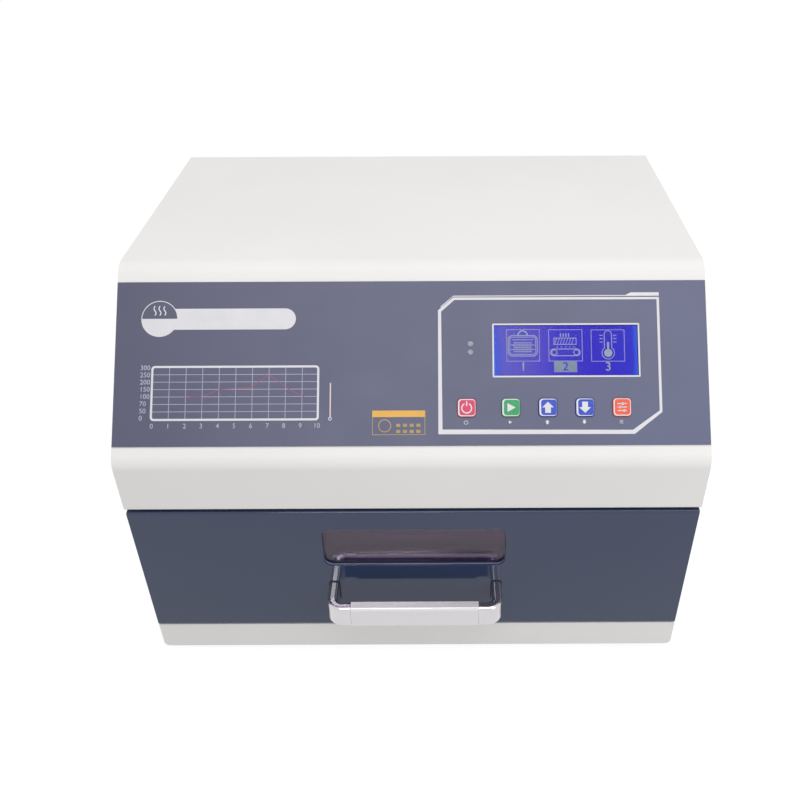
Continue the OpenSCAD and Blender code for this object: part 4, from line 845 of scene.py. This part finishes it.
# key prints: a rim and a symbol that move with each key
keys = {"size": 12.2, "corner": 2.5, "rise": 1.2, "y": 26.6, "symbol": 7.8, "labelY": 16.4,
        "labelShift": -0.5, "labelSymbol": 3.0, "innerCorner": 2.0,
        "centres": {"power": 38.8, "run": 69.8, "up": 95.8, "down": 121.8, "set": 147.8},
        "rims": {"power": (1.0, 0.35, 0.7, 0.7), "run": (1.2, 0.12, 0.6, 0.7), "up": (1.3, 0.1, 0.6, 0.6),
                 "down": (1.3, 0.1, 0.5, 0.5), "set": (0.9, 0.6, 0.7, 0.5)},
        "slots": {"power": "key_red", "run": "key_green", "up": "key_blue", "down": "key_blue",
                  "set": "key_orange"}}
# sizes as parts of half a symbol
symbols = {"power": {"drop": 0.08, "radius": 0.88, "arc": (118, 422), "line": 0.22, "bar": 0.12,
                     "barLow": 0.3, "barHigh": 1.15},
           "run": {"back": 0.62, "front": 0.86, "reach": 0.8},
           "arrow": {"head": 1.06, "stem": 0.52},
           "set": {"knobs": (0.35, -0.4, 0.1), "pitch": 0.62, "reach": 0.85, "line": 0.08, "knob": 0.24}}


def drawArrow(x, y, half, look, up=1):
    # a straight arrow with a square stem
    head, side = half * look["head"], half * look["stem"]
    points = [(0, half), (head, 0), (side, 0), (side, -half), (-side, -half), (-side, 0), (-head, 0)]
    return drawLoops([(x + px, y + up * py) for px, py in points])


def drawSymbol(kind, x, y, size):
    half = size / 2
    if kind in ("up", "down"):
        return [drawArrow(x, y, half, symbols["arrow"], 1 if kind == "up" else -1)]
    look = symbols[kind]
    if kind == "power":
        ring = arcPoints(x, y - half * look["drop"], half * look["radius"], *look["arc"], 40)
        return [drawStroke(ring, half * look["line"]),
                drawRect(x - half * look["bar"], y + half * look["barLow"],
                         x + half * look["bar"], y + half * look["barHigh"])]
    if kind == "run":
        back, reach = x - half * look["back"], half * look["reach"]
        return [drawLoops([(back, y - reach), (x + half * look["front"], y), (back, y + reach)])]
    # three sliders for the settings key
    shapes = []
    for i, knob in enumerate(look["knobs"]):
        sliderY = y + (i - 1) * half * look["pitch"]
        shapes += [drawRect(x - half * look["reach"], sliderY - half * look["line"],
                            x + half * look["reach"], sliderY + half * look["line"]),
                   drawDisc(x + knob * half, sliderY, half * look["knob"], 20)]
    return shapes


smallMarks = []
for kind, x in keys["centres"].items():
    half, y = keys["size"] / 2, keys["y"]
    left, right, low, high = keys["rims"][kind]
    outerRim = roundLoop(x - half, y - half, x + half, y + half, keys["corner"])
    innerRim = roundLoop(x - half + left, y - half + low, x + half - right, y + half - high,
                         keys["innerCorner"])
    rim = drawLoops(outerRim, innerRim)
    layPrint(kind + "KeyPrint", [rim] + drawSymbol(kind, x, y, keys["symbol"]), "printWhite",
             body=kind + "_key", lift=keys["rise"])
    smallMarks += drawSymbol(kind, x + keys["labelShift"], keys["labelY"], keys["labelSymbol"])
layPrint("keyMarksPrint", smallMarks, "printWhite")
print("key prints laid")

# the display: a lit panel behind its window, with three pictograms
display = {"panel": (58.5, 49.5, 160.3, 85.3), "panelLift": -2.26, "panelThickness": 0.06,
           "segmentLift": -2.19, "segmentThickness": 0.04, "line": 0.4,
           "boxes": [(67.4, 59.7, 91.0, 82.8), (97.3, 59.7, 121.4, 82.6), (127.5, 59.4, 151.4, 82.4)]}
layPrint("displayPanel", [drawRect(*display["panel"])], "backlight", lift=display["panelLift"],
         thickness=display["panelThickness"])


def layOnDisplay(name, shapes, finish, raised=0.0):
    return layPrint(name, shapes, finish, lift=display["segmentLift"] + raised,
                    thickness=display["segmentThickness"])


segments = [drawFrame(*box, display["line"]) for box in display["boxes"]]

# oven with a top handle and a tray inside; a loop is x0, y0, x1, y1 and its corner
oven = {"loops": [((68.4, 63.3, 89.6, 78.6, 3.2), (69.0, 63.9, 89.0, 78.0, 2.7)),
                  ((69.6, 64.5, 88.4, 77.4, 2.1), (70.1, 65.0, 87.9, 76.9, 1.7))],
        "x": 79, "handleY": 78.4, "handleRadius": 3.3, "handleWidth": 0.9,
        "topLine": (71.6, 75.0, 86.4, 75.5), "rows": 5, "rowReach": (6.4, 8.2), "rowLow": 66.4,
        "rowHigh": 67.0, "rowPitch": 1.6, "columns": 7, "columnLeft": 72.8, "columnRight": 73.1,
        "columnPitch": 1.9, "columnTop": 73.4}
segments += [drawLoops(roundLoop(*outer), roundLoop(*inner)) for outer, inner in oven["loops"]]
handleArc = arcPoints(oven["x"], oven["handleY"], oven["handleRadius"], 0, 180, 12)
segments += [drawStroke(handleArc, oven["handleWidth"]), drawRect(*oven["topLine"])]
for i in range(oven["rows"]):
    reach, rise = oven["rowReach"][i % 2], i * oven["rowPitch"]
    low, high = oven["rowLow"] + rise, oven["rowHigh"] + rise
    segments.append(drawRect(oven["x"] - reach, low, oven["x"] + reach, high))
for i in range(oven["columns"]):
    shift = i * oven["columnPitch"]
    left, right = oven["columnLeft"] + shift, oven["columnRight"] + shift
    segments.append(drawRect(left, oven["rowLow"], right, oven["columnTop"]))

# heater over a conveyor; repeated bars give x0, y0, x1, y1, their pitch and their number
conveyor = {"heater": (101.0, 71.6, 117.2, 76.6, 0.5), "belt": (98.5, 63.4, 119.9, 68.8, 0.6, 2.5),
            "rollers": [(101.4, 66.1, 2.1, 0.5, 20), (117.0, 66.1, 2.1, 0.5, 20)],
            "coils": (101.6, 72, 103.2, 76.2, 2, 7), "coilWidth": 0.4,
            "bars": [(105.6, 77.2, 106.3, 79.8, 1.9, 4), (103, 69.8, 103.9, 70.4, 3, 5)]}
segments += [drawFrame(*conveyor["heater"]), drawFrame(*conveyor["belt"])]
segments += [drawRing(*roller) for roller in conveyor["rollers"]]
x0, y0, x1, y1, pitch, number = conveyor["coils"]
for i in range(number):
    coil = [(x0 + i * pitch, y0), (x1 + i * pitch, y1)]
    segments.append(drawStroke(coil, conveyor["coilWidth"]))
for x0, y0, x1, y1, pitch, number in conveyor["bars"]:
    segments += [drawRect(x0 + i * pitch, y0, x1 + i * pitch, y1) for i in range(number)]

# thermometer with its marks
thermometer = {"x": 139.6, "topY": 79.0, "topRadius": 2.6, "bulbY": 65.6, "bulbRadius": 4.4,
               "bulbArc": (126, 414), "line": 0.5, "fillRadius": 2.9, "column": (138.9, 65.6, 140.3, 73.4),
               "marks": 3, "markY": 73.2, "markPitch": 2.4, "markWidth": 0.5,
               "markSides": [(133.6, 135.9), (143.3, 145.6)]}
tube = arcPoints(thermometer["x"], thermometer["topY"], thermometer["topRadius"], 0, 180, 12)
tube += arcPoints(thermometer["x"], thermometer["bulbY"], thermometer["bulbRadius"],
                  *thermometer["bulbArc"], 28)
segments += [drawStroke(tube + [tube[0]], thermometer["line"]),
             drawDisc(thermometer["x"], thermometer["bulbY"], thermometer["fillRadius"], 28),
             drawRect(*thermometer["column"])]
for i in range(thermometer["marks"]):
    y = thermometer["markY"] + i * thermometer["markPitch"]
    for left, right in thermometer["markSides"]:
        segments.append(drawRect(left, y, right, y + thermometer["markWidth"]))

# a figure under each pictogram, the middle one on a lit block
digits = {"sides": [("1", 79.2, 55.6, 6.2), ("3", 139.4, 55.6, 6.2)], "sideWeight": 0.12,
          "middle": ("2", 109.2, 55.7, 6.0), "middleRaised": 0.05, "block": (101.0, 51.9, 117.3, 59.6),
          "blockRaised": 0.01}
segments += [drawText(*digit, weight=digits["sideWeight"]) for digit in digits["sides"]]
layOnDisplay("displaySegments", segments, "segments")
layOnDisplay("displayBlock", [drawRect(*digits["block"])], "segmentBlock", digits["blockRaised"])
layOnDisplay("displayBlockFigure", [drawText(*digits["middle"])], "segmentDark", digits["middleRaised"])
print("display made")

# stage, light and camera
stageLook = {"size": 16.0, "floorShade": 0.62, "floorRough": 0.9, "shown": 0.72, "glow": 1.25,
             "ambient": 0.57}
lampLooks = {
    "overhead": {"place": (0.2, -0.5, 1.7), "target": (0, 0, 0.3), "size": (1.3, 1.3), "watts": 9.8},
    "frontTop": {"place": (-0.18, -1.15, 1.17), "target": (-0.02, -0.17, 0.1), "size": (0.42, 0.13),
                 "watts": 1.5},
    "rightFront": {"place": (0.85, -0.95, 0.6), "target": (0, -0.1, 0.15), "size": (0.6, 0.6), "watts": 2.1},
}


def litForView(tree):
    # 1 where the camera looks straight at it, in a mirror or through glass
    path = tree.nodes.new("ShaderNodeLightPath")
    total = path.outputs["Is Camera Ray"]
    for ray in ("Is Glossy Ray", "Is Transmission Ray"):
        node = tree.nodes.new("ShaderNodeMath")
        node.operation = "MAXIMUM"
        tree.links.new(total, node.inputs[0])
        tree.links.new(path.outputs[ray], node.inputs[1])
        total = node.outputs["Value"]
    return total


deselectAll()
bpy.ops.mesh.primitive_plane_add(size=stageLook["size"], location=(0, 0, 0))
floor = bpy.context.object
floor.name = "floor"
floorMat, floorTree, floorShader = newFinish("floorWhite")
floorShader.inputs["Base Color"].default_value = (stageLook["floorShade"],) * 3 + (1,)
floorShader.inputs["Roughness"].default_value = stageLook["floorRough"]
floorShader.inputs["Specular IOR Level"].default_value = 0.0
glow = floorTree.nodes.new("ShaderNodeEmission")
glow.inputs["Color"].default_value = (1, 1, 1, 1)
glow.inputs["Strength"].default_value = stageLook["glow"]
shown = floorTree.nodes.new("ShaderNodeMath")
shown.operation = "MULTIPLY"
shown.inputs[1].default_value = stageLook["shown"]
floorTree.links.new(litForView(floorTree), shown.inputs[0])
both = floorTree.nodes.new("ShaderNodeMixShader")
floorTree.links.new(shown.outputs["Value"], both.inputs[0])
floorTree.links.new(floorShader.outputs["BSDF"], both.inputs[1])
floorTree.links.new(glow.outputs["Emission"], both.inputs[2])
floorTree.links.new(both.outputs["Shader"], floorTree.nodes["Material Output"].inputs["Surface"])
floor.data.materials.append(floorMat)

world = bpy.data.worlds.new("studio")
bpy.context.scene.world = world
world.use_nodes = True
worldTree = world.node_tree
sky = worldTree.nodes["Background"]
sky.inputs["Color"].default_value = (1, 1, 1, 1)
skyLevel = remap(worldTree, litForView(worldTree), stageLook["ambient"], 1.0, 0, 1)
worldTree.links.new(skyLevel, sky.inputs["Strength"])


def addLamp(name, look):
    data = bpy.data.lights.new(name, "AREA")
    data.shape = "RECTANGLE"
    data.size, data.size_y = look["size"]
    data.energy = look["watts"]
    lamp = bpy.data.objects.new(name, data)
    bpy.context.scene.collection.objects.link(lamp)
    lamp.location = look["place"]
    lamp.rotation_euler = (Vector(look["target"]) - Vector(look["place"])).to_track_quat("-Z", "Y").to_euler()


for name, look in lampLooks.items():
    addLamp(name, look)

cameraLook = {"place": (0.02324, -0.61952, 0.58744), "turn": (54.5035, 0.1733, -0.1682), "lens": 38.5205,
              "shiftX": -0.05625, "clipStart": 0.01}
cameraData = bpy.data.cameras.new("camera")
camera = bpy.data.objects.new("camera", cameraData)
bpy.context.scene.collection.objects.link(camera)
camera.location = cameraLook["place"]
camera.rotation_euler = [math.radians(a) for a in cameraLook["turn"]]
cameraData.lens = cameraLook["lens"]
cameraData.shift_x = cameraLook["shiftX"]
cameraData.clip_start = cameraLook["clipStart"]
bpy.context.scene.camera = camera
bpy.context.scene.view_settings.view_transform = "Standard"
print("stage ready")
